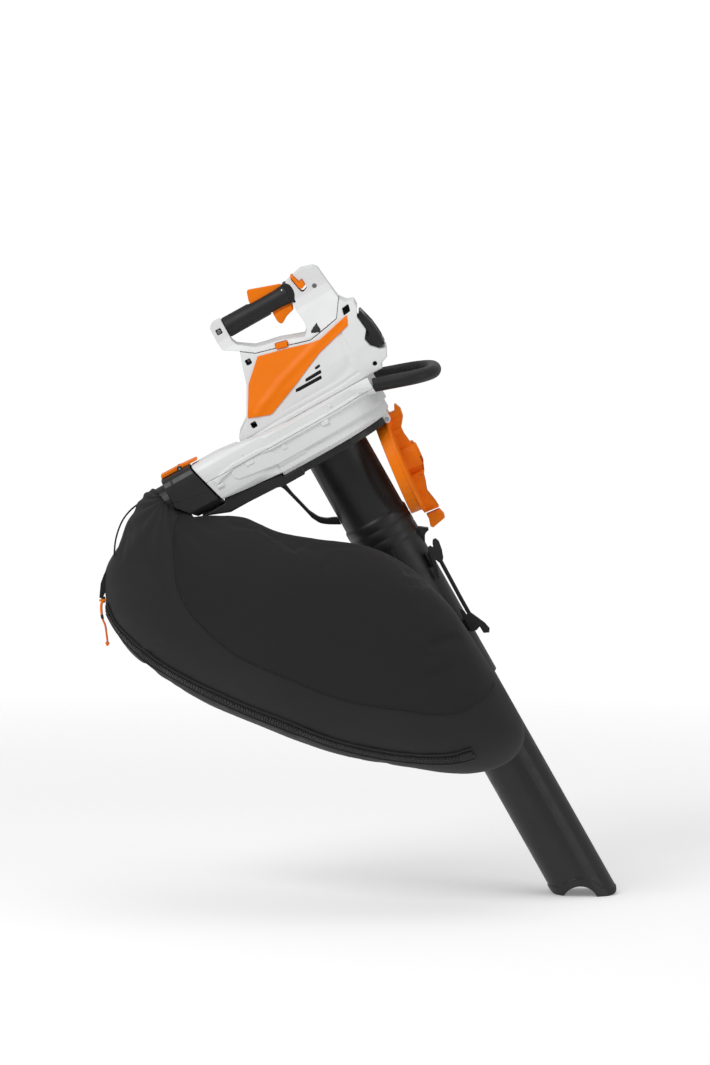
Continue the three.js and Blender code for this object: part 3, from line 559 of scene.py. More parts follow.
def sculpt_adapter(local, normals):
    x, z = local[:, 0], local[:, 2]
    ledge = np.interp(x, [p[0] for p in ADAPTER_LEDGE], [p[1] for p in ADAPTER_LEDGE])
    band = -1.0 * soft_step(ledge - z, -0.8, 0.8)
    joint = -0.9 * (1 - soft_step(distance_to_line(x, z, ADAPTER_JOINT), 0.4, 1.3))
    return side_push(local, normals, band + joint, 80)


# The open cover's own frame: x from the hinge along it, z out of its back.
COVER_FRAME = Matrix.Translation((97, 0, -2)) @ Matrix.Rotation(math.radians(96.57), 4, "Y")
# Fields of its spine that lie a little deeper between the ribs: [from, to, depth].
COVER_FIELDS = [(8, 22, 1.6), (27, 56, 3.0), (79, 103.5, 6.0), (108, 170, 4.0)]


def sculpt_cover(local, _normals):
    own = carried(COVER_FRAME.inverted(), local)
    along, out = own[:, 0], own[:, 2]
    flank = (np.abs(local[:, 1]) > 12) & (np.abs(local[:, 1]) < 15.6) & (out > 4.5)
    sink = np.zeros(len(local))
    for start, end, depth in COVER_FIELDS:
        within = soft_step(along, start, start + 1) * soft_step(end - along, 0, 1)
        sink = np.maximum(sink, depth * within)
    moved = local.copy()
    moved[:, 1] -= np.sign(local[:, 1]) * sink * flank
    return moved


# Where the volute's stepped rim runs out on the duct, the skin goes over from one to the other.
RIM_FACE, RIM_RUN_OUT = -122, (-134, -93)


def sculpt_fan_housing(local, _normals):
    x, y, z = local[:, 0], local[:, 1], local[:, 2]
    share = soft_step(x, *RIM_RUN_OUT) * (x < RIM_RUN_OUT[1] + 1)
    share = share * soft_step(-y, 104, 110) * soft_step(32 - z, 0, 3)
    moved = local.copy()
    moved[:, 1] = y + (RIM_FACE - y) * share
    return moved


# The slanted hollow in the housing's top corner.
CORNER_SIDE = [(125, 189.6), (138.2, 191.2), (141.2, 203.4), (128, 201.8)]
CORNER_FLOOR = -25.3

hollow_cutter = extruded("cut_hollow", HOLLOW_SIDE, -70, HOLLOW_FLOOR, 0)
corner_cutter = extruded("cut_corner", CORNER_SIDE, -70, CORNER_FLOOR, 0)
for side in ("near", "far"):
    near = side == "near"
    for node, voxel, sculpt, cuts in (
        ("motor_housing_", 1.05, sculpt_housing, (corner_cutter,) if near else ()),
        ("handle_shell_", 0.95, None, (hollow_cutter,) if near else ()),
    ):
        moulded(node + side, "head", "white_plastic", WHITE, voxel, 4, sculpt, 0.4, cuts)
    moulded("trim_panel_" + side, "head", "orange_plastic", ORANGE, 0.7, 3, sculpt_trim, 0.3)
bpy.data.objects.remove(hollow_cutter)
bpy.data.objects.remove(corner_cutter)

for node, body, voxel, rounds, sculpt in (
    ("trigger", "trigger", 0.6, 5, None), ("lockout_lever", "lockout_lever", 0.6, 5, None),
    ("retaining_latch", "retaining_latch", 0.55, 4, None),
    ("housing_button", "housing_button", 0.55, 4, None),
    ("battery_latch", "battery_latch", 0.5, 4, None), ("bag_release_lever", "bag_lever", 0.6, 3, None),
    ("cover_latch", "cover_latch", 0.7, 4, None), ("intake_cover", "cover", 0.85, 3, sculpt_cover),
):
    moulded(node, body, "orange_plastic", ORANGE, voxel, rounds, sculpt)
for node, voxel, rounds, sculpt in (
    ("tube_bracket", 0.9, 7, None), ("tube_flange", 1.2, 5, None),
    ("bag_adapter", 0.9, 3, sculpt_adapter),
    ("strap_hook_upper", 0.6, 5, None), ("strap_hook_lower", 0.6, 5, None),
):
    moulded(node, "head", "black_plastic", BLACK, voxel, rounds, sculpt)
moulded("battery_pack", "battery", "battery_plastic", PACK, 0.9, 5)
for half in ("upper", "lower"):
    moulded("fan_housing_" + half, "head", "white_plastic", WHITE, 1.1, 4, sculpt_fan_housing, 0.4)


# ---------------------------------------------------------------- grip, loop handle and tubes
GRIP_Z, GRIP_RADIUS, GRIP_FROM, GRIP_TO = 266, 18, -61.5, 64
GRIP_BORE, GRIP_END_ROUND = 15.6, 1.6


def grip():
    """Rubber sleeve: slightly waisted, with a parting line and rounded ends."""
    sides, rows = 72, 60
    points = []
    for i in range(rows + 1):
        u = i / rows
        x = GRIP_FROM + (GRIP_TO - GRIP_FROM) * u
        end = min(u, 1 - u) * (GRIP_TO - GRIP_FROM)
        bent = 1 - min(end, GRIP_END_ROUND) / GRIP_END_ROUND
        edge = GRIP_END_ROUND * (1 - math.sqrt(max(0, 1 - bent ** 2)))
        waist = 0.35 * math.sin(math.pi * u)
        flare = 1.9 * max(0, min(1, (x - 34) / 24)) ** 2
        for c, s in circle(sides):
            on_parting_line = abs(s) > 0.9985 and 0.1 < u < 0.93
            r = GRIP_RADIUS - edge - waist + flare - (0.25 if on_parting_line else 0)
            points.append((x, r * c, GRIP_Z + r * s))
    faces = bands(rows + 1, sides)
    bores = []
    for start, x in ((0, GRIP_FROM), (rows * sides, GRIP_TO)):
        bores.append(len(points))
        points += [(x, GRIP_BORE * c, GRIP_Z + GRIP_BORE * s) for c, s in circle(sides)]
        faces += band(start, bores[-1], sides)
    faces += band(*bores, sides)
    sleeve = from_lists("grip_sleeve_rubber", points, faces, HEAD)
    for name, low, high in (
        ("cut_trigger", (17, -9.6, 230), (62, 9.6, 258)),
        ("cut_lockout", (-10.5, -8, 275), (60, 8, 300)),
    ):
        cutter = block(name, low, high, 1.5)
        carve(sleeve, cutter)
        bpy.data.objects.remove(cutter)
    smooth_piece(sleeve, "soft_grip", GRIP, "grip_sleeve", angle=35)


LOOP = {"y": 83, "x": 110.5, "z": 66, "radius": 12, "reach": 107, "straight": 50, "droop": 18.5}


def loop_point(s, y):
    droop = math.radians(LOOP["droop"])
    return Vector((LOOP["x"] + s * math.cos(droop), y, LOOP["z"] - s * math.sin(droop)))


def loop_handle():
    """Second handle: one thick tube bent into a wide loop."""
    def bend(k):
        a, power = k * math.pi / 2, 2 / 2.5
        s = LOOP["straight"] + (LOOP["reach"] - LOOP["straight"]) * math.cos(a) ** power
        return s, LOOP["y"] * math.sin(a) ** power

    shares = [0.97, 0.85, 0.7, 0.52, 0.34, 0.18]
    near = [loop_point(s, -y) for s, y in map(bend, shares)]
    far = [loop_point(s, y) for s, y in map(bend, reversed(shares))]
    route = [loop_point(1, -LOOP["y"]), loop_point(25, -LOOP["y"]), *near,
             loop_point(LOOP["reach"], 0), *far, loop_point(25, LOOP["y"]), loop_point(1, LOOP["y"])]
    path = catmull(route, 90)
    ends = 2.5 / length_of(path)

    def radius(u):
        end = min(u, 1 - u) / ends
        return LOOP["radius"] - (0 if end > 1 else 2.0 * (1 - math.sqrt(1 - (1 - end) ** 2)))

    path = [*[path[0].lerp(path[1], k / 5) for k in range(5)], *path[1:-1],
            *[path[-2].lerp(path[-1], k / 5) for k in range(1, 6)]]
    handle = tube_along("loop_handle_tube", path, radius, 40, HEAD)
    smooth_piece(handle, "soft_grip", GRIP, "loop_handle")


def tubes():
    # Upper tube with its collar, wall and rolled lower edge.
    profile = [
        (51.4, -1), (51.4, -466), (52.2, -467), (53.6, -467), (54.5, -465.5), (54.5, -400),
        (54.5, -300), (54.5, -196), (54.9, -194), (56.6, -191), (57, -189.5), (57, -178),
        (56.5, -177), (56.5, -174), (57, -173), (57, -159), (56.5, -158), (56.5, -155),
        (57, -154), (57, -143), (56.6, -141.5), (54.9, -138.5), (54.5, -137), (54.5, -60), (54.5, -1),
    ]
    upper = lathe("upper_tube_moulding", profile, HEAD, 128)
    smooth_piece(upper, "black_plastic", BLACK, "upper_tube", angle=28)
    # The little hook-shaped lug under the collar that the cover's latch meets.
    side = [
        (53.0, -188), (57, -189), (61, -191.5), (66, -195.5), (70.5, -198.5), (71, -200), (69.5, -203),
        (66, -203.6), (62.5, -205), (60, -207.5), (58, -211), (56, -215), (54.0, -219), (53.0, -219),
    ]
    lug = extruded("tube_lug", side, -8, 8, 1.4)
    piece(lug, "head", "black_plastic", BLACK)
    # Two thin moulding ribs down the tube's front and back.
    for name, y0, y1 in (("tube_rib_near", -55.1, -54.0), ("tube_rib_far", 54.0, 55.1)):
        rib = block(name, (-1.0, y0, -452), (1.0, y1, -198), 0.4)
        smooth_piece(rib, "black_plastic", BLACK)


grip()
loop_handle()
tubes()
moulded("lower_tube", "lower_tube", "black_plastic", BLACK, 1.1, 5)


# ---------------------------------------------------------------- screws
SCREWS = {
    "screw_handle_front": (-74, 267, -15), "screw_handle_rear": (105, 256, -15),
    "screw_handle_base": (72, 194, -22), "screw_housing_front": (-54, 200, -22),
    "screw_housing_corner": (-97, 104, -22), "screw_housing_rear": (132, 95, -22),
    "screw_housing_top": (133, 196.5, -22),
}


def screw(name, x, z, y):
    """Domed head with a six-lobed socket; its front faces -Y."""
    sides, lobes = 48, 6
    outer, socket, deep = 3.6, 1.75, 1.3
    rings = [(outer, 3.0), (outer, 0.7), (outer - 0.25, 0.25), (outer - 0.8, 0.0), (socket + 0.35, 0)]
    points = []

    def put(radius, depth, lobed=0.0):
        for k in range(sides):
            a = 2 * math.pi * k / sides
            r = radius + lobed * math.cos(lobes * a)
            points.append((x + r * math.cos(a), y - 3.0 + depth, z + r * math.sin(a)))

    for r, depth in rings:
        put(r, depth)
    put(socket, 0.05, 0.24)
    put(socket, deep, 0.24)
    rows = len(rings) + 2
    faces = bands(rows, sides)
    faces.append(tuple((rows - 1) * sides + k for k in range(sides)))
    faces.append(tuple(range(sides)))
    head = from_lists(name + "_head", points, faces, HEAD)
    shank = tube_along(name + "_shank", [(x, y + 0.2, z), (x, y + 24, z)], 1.9, 16, HEAD)
    smooth_piece(shank, "steel", ZINC, angle=30)
    smooth_piece(head, "steel", ZINC, name, angle=30)


for name, (x, z, y) in SCREWS.items():
    screw(name, x, z, y)


# ---------------------------------------------------------------- bag
# The same outline as the bag's solid: [X, Z] where it hangs, in millimetres.
BAG_EDGE = [
    (-303, -62), (-268, -95), (-220, -101), (-160, -100), (-128, -110), (-92, -124), (-30, -134),
    (60, -148), (130, -183), (186, -238), (240, -320), (300, -424), (316, -478), (288, -520),
    (220, -540), (110, -532), (0, -513), (-120, -471), (-230, -427), (-332, -359), (-381, -286),
    (-387.5, -240), (-386, -200), (-366, -156), (-330, -84),
]
BAG_SPINE = (np.array((-250.0, -220.0)), np.array((150.0, -390.0)))
NEAR, FAR = 115, 80


def closed_curve(points, count):
    """Even steps round a closed smooth curve."""
    fine = []
    total = len(points)
    for i in range(total):
        p = [np.array(points[(i + d) % total], float) for d in (-1, 0, 1, 2)]
        fine += [spline_at(p, u) for u in np.linspace(0, 1, 24, endpoint=False)]
    fine = np.array(fine)
    steps = np.linalg.norm(np.roll(fine, -1, 0) - fine, axis=1)
    along = np.concatenate([[0], np.cumsum(steps)])
    wanted = np.linspace(0, along[-1], count, endpoint=False)
    wrapped = np.vstack([fine, fine[:1]])
    return np.stack([np.interp(wanted, along, wrapped[:, k]) for k in range(2)], 1)


def middle_plane(X):
    return -88 - 55 * soft_step(X, -300, -60)


def bag_rings(count=150, levels=20):
    """Points of the bag's skin, in rings from its near middle out over the edge to its far middle."""
    edge = closed_curve(BAG_EDGE, count)
    a, b = BAG_SPINE
    along = np.clip(((edge - a) @ (b - a)) / ((b - a) @ (b - a)), 0, 1)
    foot = a + along[:, None] * (b - a)
    rings = []
    shares = [math.sin(k / levels * math.pi / 2) for k in range(1, levels + 1)]
    for side, order in ((-1, shares), (1, shares[-2::-1])):
        for c in order:
            at = foot + (edge - foot) * c
            thick = side * (NEAR if side < 0 else FAR) * (1 - c ** 2.4) ** 0.62
            rings.append(np.stack([at[:, 0], middle_plane(at[:, 0]) + thick, at[:, 1]], 1))
    return rings


TUBE_CLEAR = 59.5


def keep_clear(points):
    """Moves the skin off the tube, the flange arm, the duct and the adapter; row frame, metres."""
    local = in_head(points)
    x, y, z = local[:, 0], local[:, 1], local[:, 2]
    # The tube: the bag's far side wraps round its near half.
    inside = TUBE_CLEAR ** 2 - x ** 2
    front = -np.sqrt(np.maximum(inside, 0))
    hit = (inside > 0) & (y > front) & (z < 20)
    y = np.where(hit, front, y)
    # The duct and its arm: the bag's top stays under them.
    under = np.where(x > -150, -13.0, -4.0 + (-150 - x) * 0.09)
    arm = (x > -262) & (x < -60) & (y > -119) & (y < -53) & (z > under) & (z < 60)
    z = np.where(arm, under, z)
    return from_head(np.stack([x, y, z], 1))


def bag_shell():
    rings = bag_rings()
    count = len(rings[0])
    points = np.vstack(rings)
    faces = bands(len(rings), count)
    faces += [tuple(start + i for i in range(count)) for start in (0, (len(rings) - 1) * count)]
    shell = from_lists("bag_shell", points, faces, HUNG)
    modify(shell, "TRIANGULATE")
    modify(shell, "REMESH", mode="VOXEL", voxel_size=5 * MM)
    modify(shell, "SMOOTH", factor=0.5, iterations=4)
    applied(shell)
    set_coords(shell.data, keep_clear(coords(shell.data)))
    return shell


def inflate(shell, most):
    """Cloth with a little air in it, moved no further than most."""
    before = coords(shell.data)
    hung = (before - np.array(ORIGIN)) / MM
    neck = (hung[:, 0] < -262) & (hung[:, 2] > -105)
    group = shell.vertex_groups.new(name="held")
    group.add([int(i) for i in np.nonzero(neck)[0]], 1.0, "REPLACE")
    modify(shell, "CLOTH")
    settings = shell.modifiers["cloth"].settings
    settle(settings, quality=6, mass=0.35, tension_stiffness=22, compression_stiffness=22,
           shear_stiffness=8, bending_stiffness=0.6, use_pressure=True, uniform_pressure_force=4,
           vertex_group_mass="held", shrink_min=-0.012)
    settings.effector_weights.gravity = 0
    scene.frame_start, scene.frame_end = 1, 20
    for step in range(1, 21):
        scene.frame_set(step)
    bpy.context.view_layer.update()
    graph = bpy.context.evaluated_depsgraph_get()
    after = coords(bpy.data.meshes.new_from_object(shell.evaluated_get(graph)))
    shell.modifiers.clear()
    shell.vertex_groups.clear()
    scene.frame_set(1)
    moved = after - before
    size = np.linalg.norm(moved, axis=1, keepdims=True)
    moved *= np.minimum(1, most / np.maximum(size, 1e-9))
    set_coords(shell.data, before + moved)


# Sewn line between the bag's darker side panel and its outer band, where it hangs.
PANEL = [
    (-262, -98), (-271, -134), (-268, -185), (-263, -219), (-246, -254), (-229, -274), (-203, -300),
    (-161, -331), (-110, -353), (-59, -373), (-8, -394), (43, -408), (111, -418), (162, -425),
    (196, -425), (222, -418), (247, -404), (264, -392), (270, -380),
]
# The rest of the panel's outline, up round the bag's edge.
PANEL_CLOSE = [
    (262, -350), (240, -310), (186, -228), (130, -172), (60, -138), (-30, -124), (-128, -98), (-220, -90),
]


def wrinkles(points, normals):
    """Soft folds: long ones that run from the neck, short ones near the sewn edge."""
    hung = (points - np.array(ORIGIN)) / MM
    out = points.copy()
    neck = np.array((-285.0, -75.0))
    away = hung[:, [0, 2]] - neck
    reach = np.linalg.norm(away, axis=1)
    angle = np.arctan2(away[:, 1], away[:, 0])
    for i in range(len(points)):
        X, Y, Z = hung[i]
        broad = noise.noise(Vector((X * 0.008, Y * 0.011, Z * 0.008 + 3.1)))
        fine = noise.noise(Vector((X * 0.024, Y * 0.03, Z * 0.024)))
        fans = math.sin(angle[i] * 17 + 2.2 * broad) * math.exp(-((reach[i] - 55) / 75) ** 2)
        out[i] += normals[i] * MM * (1.7 * broad + 0.45 * fine + 1.3 * fans)
    return out


def inside_outline(X, Z, outline):
    inside = np.zeros(len(X), bool)
    for (ax, az), (bx, bz) in zip(outline, outline[1:] + outline[:1]):
        crosses = (az > Z) != (bz > Z)
        level = ax + (Z - az) * (bx - ax) / np.where(bz == az, 1e-9, bz - az)
        inside ^= crosses & (X < level)
    return inside


def mark_panel(shell):
    hung = (coords(shell.data) - np.array(ORIGIN)) / MM
    X, Y, Z = hung[:, 0], hung[:, 1], hung[:, 2]
    seam = [tuple(p[:2]) for p in catmull([(a, b, 0) for a, b in PANEL], 120)]
    outline = seam + PANEL_CLOSE
    away = distance_to_line(X, Z, seam)
    signed = np.where(inside_outline(X, Z, outline), away, -away)
    near = Y < middle_plane(X) + 12
    value = soft_step(signed, -0.6, 0.6) * near
    attribute = shell.data.attributes.new("panel", "FLOAT", "POINT")
    attribute.data.foreach_set("value", value.astype(np.float32))


shell = bag_shell()
MOST_SWELL = 7 * MM
inflate(shell, MOST_SWELL)
set_coords(shell.data, keep_clear(coords(shell.data)))
modify(shell, "SMOOTH", factor=0.5, iterations=2)
modify(shell, "SUBSURF", levels=1, render_levels=1)
applied(shell)
set_coords(shell.data, wrinkles(coords(shell.data), normals_of(shell.data)))
set_coords(shell.data, keep_clear(coords(shell.data)))
mark_panel(shell)
smooth(shell)
piece(shell, "head", "bag_fabric", BAG, "bag")
skin = BVHTree.FromObject(shell, bpy.context.evaluated_depsgraph_get())


def on_skin(X, Z, lift=0.0):
    """Point and normal on the bag's near side at X and Z where it hangs, lifted off by millimetres."""
    start = HUNG @ Vector((X, -400, Z))
    hit, normal, _, _ = skin.ray_cast(start, Vector((0, 1, 0)))
    if hit is None:
        hit, normal, _, _ = skin.find_nearest(HUNG @ Vector((X, -110, Z)))
    return hit + normal * lift * MM, normal


def even_steps(path, pitch, first):
    """Places on a path of points and normals, a pitch in millimetres apart, with their directions."""
    travelled, next_at = 0.0, first
    for (here, normal), (there, _) in zip(path, path[1:]):
        travelled += (there - here).length / MM
        if travelled > next_at:
            along = (there - here).normalized()
            yield here, normal, along, along.cross(normal).normalized()
            next_at += pitch


def stitches(name, path, sides, pitch):
    """Short threads in a row on the skin."""
    half_long, half_wide, high, lifted = 1.3, 0.25, 0.35, 0.15
    points, faces = [], []
    for here, normal, along, side in even_steps(path, pitch, pitch):
        for offset in sides:
            base = len(points)
            middle = here + side * offset * MM + normal * lifted * MM
            for u, w, h in ((-1, -1, 0), (-1, 1, 0), (1, 1, 0), (1, -1, 0), (-0.6, 0, 1), (0.6, 0, 1)):
                points.append(middle + along * u * half_long * MM + side * w * half_wide * MM
                              + normal * h * high * MM)
            faces += [(base, base + 1, base + 4), (base + 1, base + 2, base + 5, base + 4),
                      (base + 2, base + 3, base + 5), (base + 3, base, base + 4, base + 5),
                      (base, base + 3, base + 2, base + 1)]
    return smooth_piece(from_lists(name, points, faces), "bag_fabric", STITCH, angle=60)


def seams():
    line = catmull([(X, 0, Z) for X, Z in PANEL], 340)
    path = [on_skin(p.x, p.z, 0.1) for p in line]
    welt = tube_along("panel_seam_welt", [p for p, _ in path], 0.95 * MM, 8)
    smooth_piece(welt, "bag_fabric", BINDING, angle=None)
    stitches("panel_seam_stitches", path, (-3.4,), 4.2)


seams()


# ---------------------------------------------------------------- zip
ZIP_ROUTE = [
    (233, -494), (199, -503), (162, -505), (125, -503), (83, -498), (37, -489), (-10, -476),
    (-54, -459), (-99, -441), (-145, -425), (-190, -407), (-234, -388), (-276, -366), (-314, -342),
    (-346, -315), (-369, -290), (-384, -262),
]


def across(path, i):
    """Direction on the skin square to a path of points and normals, at its point i."""
    before, after = path[max(0, i - 1)][0], path[min(len(path) - 1, i + 1)][0]
    return (after - before).normalized().cross(path[i][1]).normalized()


def strip(name, path, low, high, thick, material, slot):
    """A flat tape between two side offsets of the path, thick in millimetres, lying on the skin."""
    points = []
    for i, (here, normal) in enumerate(path):
        side = across(path, i)
        for offset, lift in ((low, 0.0), (low, thick), (high, thick), (high, 0.0)):
            points.append(here + side * offset * MM + normal * lift * MM)
    return smooth_piece(from_lists(name, points, bar_faces(len(path))), slot, material)


def zip_fastener():
    line = catmull([(X, 0, Z) for X, Z in ZIP_ROUTE], 700)
    path = [on_skin(p.x, p.z, 0.5) for p in line]

    def smoothed_normal(i):
        nearby = (path[min(max(i + d, 0), len(path) - 1)][1] for d in range(-8, 9))
        return sum(nearby, Vector()).normalized()

    # Normals smoothed along the path, so the tape lies flat.
    normals = [smoothed_normal(i) for i in range(len(path))]
    path = [(p, normal) for (p, _), normal in zip(path, normals)]
    tape = strip("zip_tape", path[::4], -13, 13, 1.0, ZIP_TAPE, "zip_tape")
    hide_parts("zipper")
    # Welts: rolled fabric along both sides of the tape.
    for name, offset, radius in (("zip_welt_upper", 13.5, 1.7), ("zip_welt_lower", -13.5, 1.7)):
        rows = []
        for i in range(0, len(path), 4):
            here, normal = path[i]
            rows.append(here + across(path, i) * offset * MM + normal * 0.5 * MM)
        welt = tube_along(name, rows, radius * MM, 10)
        smooth_piece(welt, "bag_fabric", BINDING, angle=None)
    stitches("zip_stitches", path, (-9.5, 9.5), 4.0)
    # Teeth: two interlocking rows of small rounded blocks.
    points, faces = [], []
    for i, (here, normal, along, side) in enumerate(even_steps(path, 1.5, 0)):
        row = 1 if i % 2 else -1
        base = len(points)
        for h, grow in ((0.6, 1.0), (2.2, 1.0), (2.9, 0.6)):
            for u, w in ((-0.75, -0.9), (0.75, -0.9), (0.75, 7.0), (-0.75, 7.0)):
                at = here + along * u * grow * MM + side * row * w * MM + normal * h * MM
                points.append(at)
        faces += bar_faces(3, base)
    smooth_piece(from_lists("zip_teeth", points, faces), "zip_tape", ZIP_TEETH)
    # A short fabric garage covers the zip's closed end.
    garage = strip("zip_garage", path[2:30:3], -8.5, 8.5, 4.2, BINDING, "bag_fabric")
    soften(garage, 1.6)


def zip_slider():
    low, high = ((ORIGIN.xyz * -1 + v) / MM for v in ZIP_END)
    body = block("zip_slider_body", tuple(low + Vector((0.6, 0.6, 0.6))),
                 tuple(high - Vector((0.6, 0.6, 0.6))), 1.6, HUNG)
    smooth_piece(body, "zip_tape", ZIP_TEETH, "zipper_slider", angle=50)
    x, _, z = (low + high) / 2
    arch = [(0.4, 4), (-2.0, 3), (-2.4, -1), (0.4, -3.5)]
    route = catmull([(x, low.y + dy, z + dz) for dy, dz in arch], 16)
    bail = tube_along("zip_slider_bail", route, 0.7, 10, HUNG)
    smooth_piece(bail, "zip_tape", DARK_STEEL, angle=None)


def knot():
    """An overhand knot with two frayed ends, under the pull cord."""
    low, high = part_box("zipper_pull_knot")
    centre = HUNG.inverted() @ ((low + high) / 2)
    wide, deep, steps = 0.837, -1.215, 90
    turns = []
    for i in range(steps):
        t = i / (steps - 1) * 2 * math.pi
        turns.append(centre + Vector((
            wide * (math.sin(t) + 2 * math.sin(2 * t)),
            deep * math.sin(3 * t),
            wide * (math.cos(t) - 2 * math.cos(2 * t)),
        )))
    body = tube_along("pull_knot", turns + [turns[0]], 1.45, 12, HUNG, caps=False)
    profile = [(0.01, -3.4), (1.6, -3.2), (2.4, -1.6), (2.5, 1.6), (1.7, 4.6), (0.01, 5.0)]
    core = lathe("pull_knot_core", profile, HUNG @ Matrix.Translation(centre), 24, closed=False)
    smooth_piece(core, "orange_cord", ORANGE_CORD, angle=None)
    return smooth_piece(body, "orange_cord", ORANGE_CORD, "zipper_pull_knot", angle=None)


def pull_tab():
    """Orange toggle and tab at the top of the pull cord, with a black link under them."""
    top = HUNG.inverted() @ pull_path[0]
    ends = [top + Vector((-6.6, 0, 0.6)), top + Vector((6.8, 0, 1.4))]
    bar = tube_along("pull_toggle", ends, 2.0, 16, HUNG)
    soften(bar, 0.9)
    tab = tube_along("pull_tab", pull_path[:10], 2.3 * MM, 16)
    soften(tab, 0.8)
    collar = tube_along("pull_link", pull_path[9:12], 2.5 * MM, 16)
    for thing, material, slot in ((bar, ORANGE, "orange_cord"), (tab, ORANGE, "orange_cord"),
                                  (collar, BLACK, "black_cord")):
        smooth_piece(thing, slot, material, angle=50)
    return [bar, tab, collar]


# Webbing tab on the bag's rear edge, above the slider: [X, Z] where it hangs.
EDGE_TAB = [
    (-383, -197), (-389, -207), (-394.5, -222), (-396.8, -246), (-391.5, -247.5), (-387, -238), (-384, -222),
]


zip_fastener()
zip_slider()
edge_tab = extruded("edge_tab", EDGE_TAB, -110, -94, 1.2, HUNG)
piece(edge_tab, "head", "bag_fabric", BINDING)
pull_pieces = [knot(), *pull_tab()]


# ---------------------------------------------------------------- small moulded details
HOUSING_WIDTH = [(84, 72), (130, 67), (188, 52), (226, 42)]
HANDLE_WIDTH = [(160, 56), (187, 52), (212, 38), (236, 25), (252, 20), (310, 20)]


def half_width(table, z):
    """A shell's half width in y at a height in the head."""
    return float(np.interp(z, [row[0] for row in table], [row[1] for row in table]))


def painted_shade_liner(name, side, front, back):
    """Painted shade in a recess: a dark open cup that lines it; side is its outline in x and z, front and
    back are y.
    """
    count, wall = len(side), 0.5
    middle = sum((Vector(p) for p in side), Vector((0, 0))) / count
    inner = []
    for p in side:
        out = Vector(p) - middle
        inner.append(middle + out * (1 - wall / out.length))
    rings = ((inner, back - wall), (inner, front), (side, front), (side, back))
    points = [(p[0], y, p[1]) for ring, y in rings for p in ring]
    faces = bands(4, count) + [tuple(range(count)), tuple(3 * count + i for i in range(count))]
    piece(from_lists(name, points, faces, HEAD), "head", "black_plastic", RECESS_PAINTED_SHADE)


def square(x, z, half):
    return [(x - half, z - half), (x + half, z - half), (x + half, z + half), (x - half, z + half)]


def recesses():
    # Each cup here is painted shade, standing for the dark depth of its recess.
    for name, x, z, table in (
        ("corner", -97, 104, HOUSING_WIDTH), ("front", -54, 200, HOUSING_WIDTH),
        ("handle", -74, 267, HANDLE_WIDTH),
    ):
        back = -15.2 if name == "handle" else -22.2
        painted_shade_liner("recess_" + name, square(x, z, 4.85), 1.0 - half_width(table, z + 4.9), back)
    for name, side, middle, share, front, back in (
        ("top", CORNER_SIDE, (133, 196.5), 0.97, 1.0 - half_width(HOUSING_WIDTH, 203), CORNER_FLOOR + 0.2),
        ("foot", HOLLOW_SIDE, (72, 193), 0.96, 1.2 - half_width(HANDLE_WIDTH, 199), HOLLOW_FLOOR - 0.2),
    ):
        shrunk = [tuple(Vector(middle).lerp(Vector(p), share)) for p in side]
        painted_shade_liner("recess_" + name, shrunk, front, back)


VENTS = [
    [(38, 133.4), (49.5, 134.7), (49.5, 139.4), (39.5, 138.2)],
    [(11, 122.8), (46.5, 124), (46.5, 130.8), (17, 129.6)],
    [(-11, 115), (42.5, 114.8), (42.5, 122.2), (-6, 122.4)],
]


def vents():
    """Painted shade in the vent slots, on both sides: near-black slabs just under the skin."""
    for i, side in enumerate(VENTS):
        z = sum(p[1] for p in side) / 4
        face = half_width(HOUSING_WIDTH, z) + 0.12
        for name, y0, y1 in (("near", -face, -face + 3), ("far", face - 3, face)):
            slot = extruded("vent_%d_%s" % (i + 1, name), side, y0, y1, 0.8, HEAD, 3, 20)
            # Painted shade: the slab stands for the shade deep in the slot.
            piece(slot, "head", "black_plastic", GAP_BLACK_AND_PAINTED_SHADE)


SEAM = [(-59, 221), (-37, 206), (17, 192), (56, 181), (112, 191), (131, 218)]


def seam_gap():
    """The dark joint between handle and motor housing."""
    fine = [
        Vector(a).lerp(Vector(b), k / 12) for a, b in zip(SEAM, SEAM[1:]) for k in range(12)
    ] + [Vector(SEAM[-1])]
    points = []
    for i, here in enumerate(fine):
        run = (fine[min(i + 1, len(fine) - 1)] - fine[max(i - 1, 0)]).normalized()
        across = Vector((-run.y, run.x))
        wide = half_width(HANDLE_WIDTH, here.y) + 0.15
        for offset, y in ((-0.35, -wide), (0.85, -wide), (0.85, wide), (-0.35, wide)):
            p = here + across * offset
            points.append((p.x, y, p.y))
    gap = from_lists("seam_gap", points, bar_faces(len(fine)), HEAD)
    piece(gap, "head", "black_plastic", GAP_BLACK_AND_PAINTED_SHADE)


def grip_end():
    """Rubber cheeks that close over the handle post, and the pin's bright head."""
    side = [
        (57.5, 248.2), (62, 249.4), (66.5, 253.5), (69.8, 259.5), (71.4, 266), (71.5, 272.5),
        (70.2, 278.5), (67.2, 283), (63, 285.4), (57.5, 285.6),
    ]
    smooth_piece(extruded("grip_end", side, -20.8, 20.8, 3.0, HEAD, 5), "soft_grip", GRIP)
    profile = [(0.01, 0.9), (1.4, 0.75), (2.3, 0.2), (2.6, -0.8), (2.6, -3), (0.01, -3)]
    turned = HEAD @ Matrix.Translation((53.3, -15.2, 276.5)) @ Matrix.Rotation(math.radians(58), 4, "X")
    smooth_piece(lathe("grip_pin_head", profile, turned, 32, closed=False), "steel", STEEL)


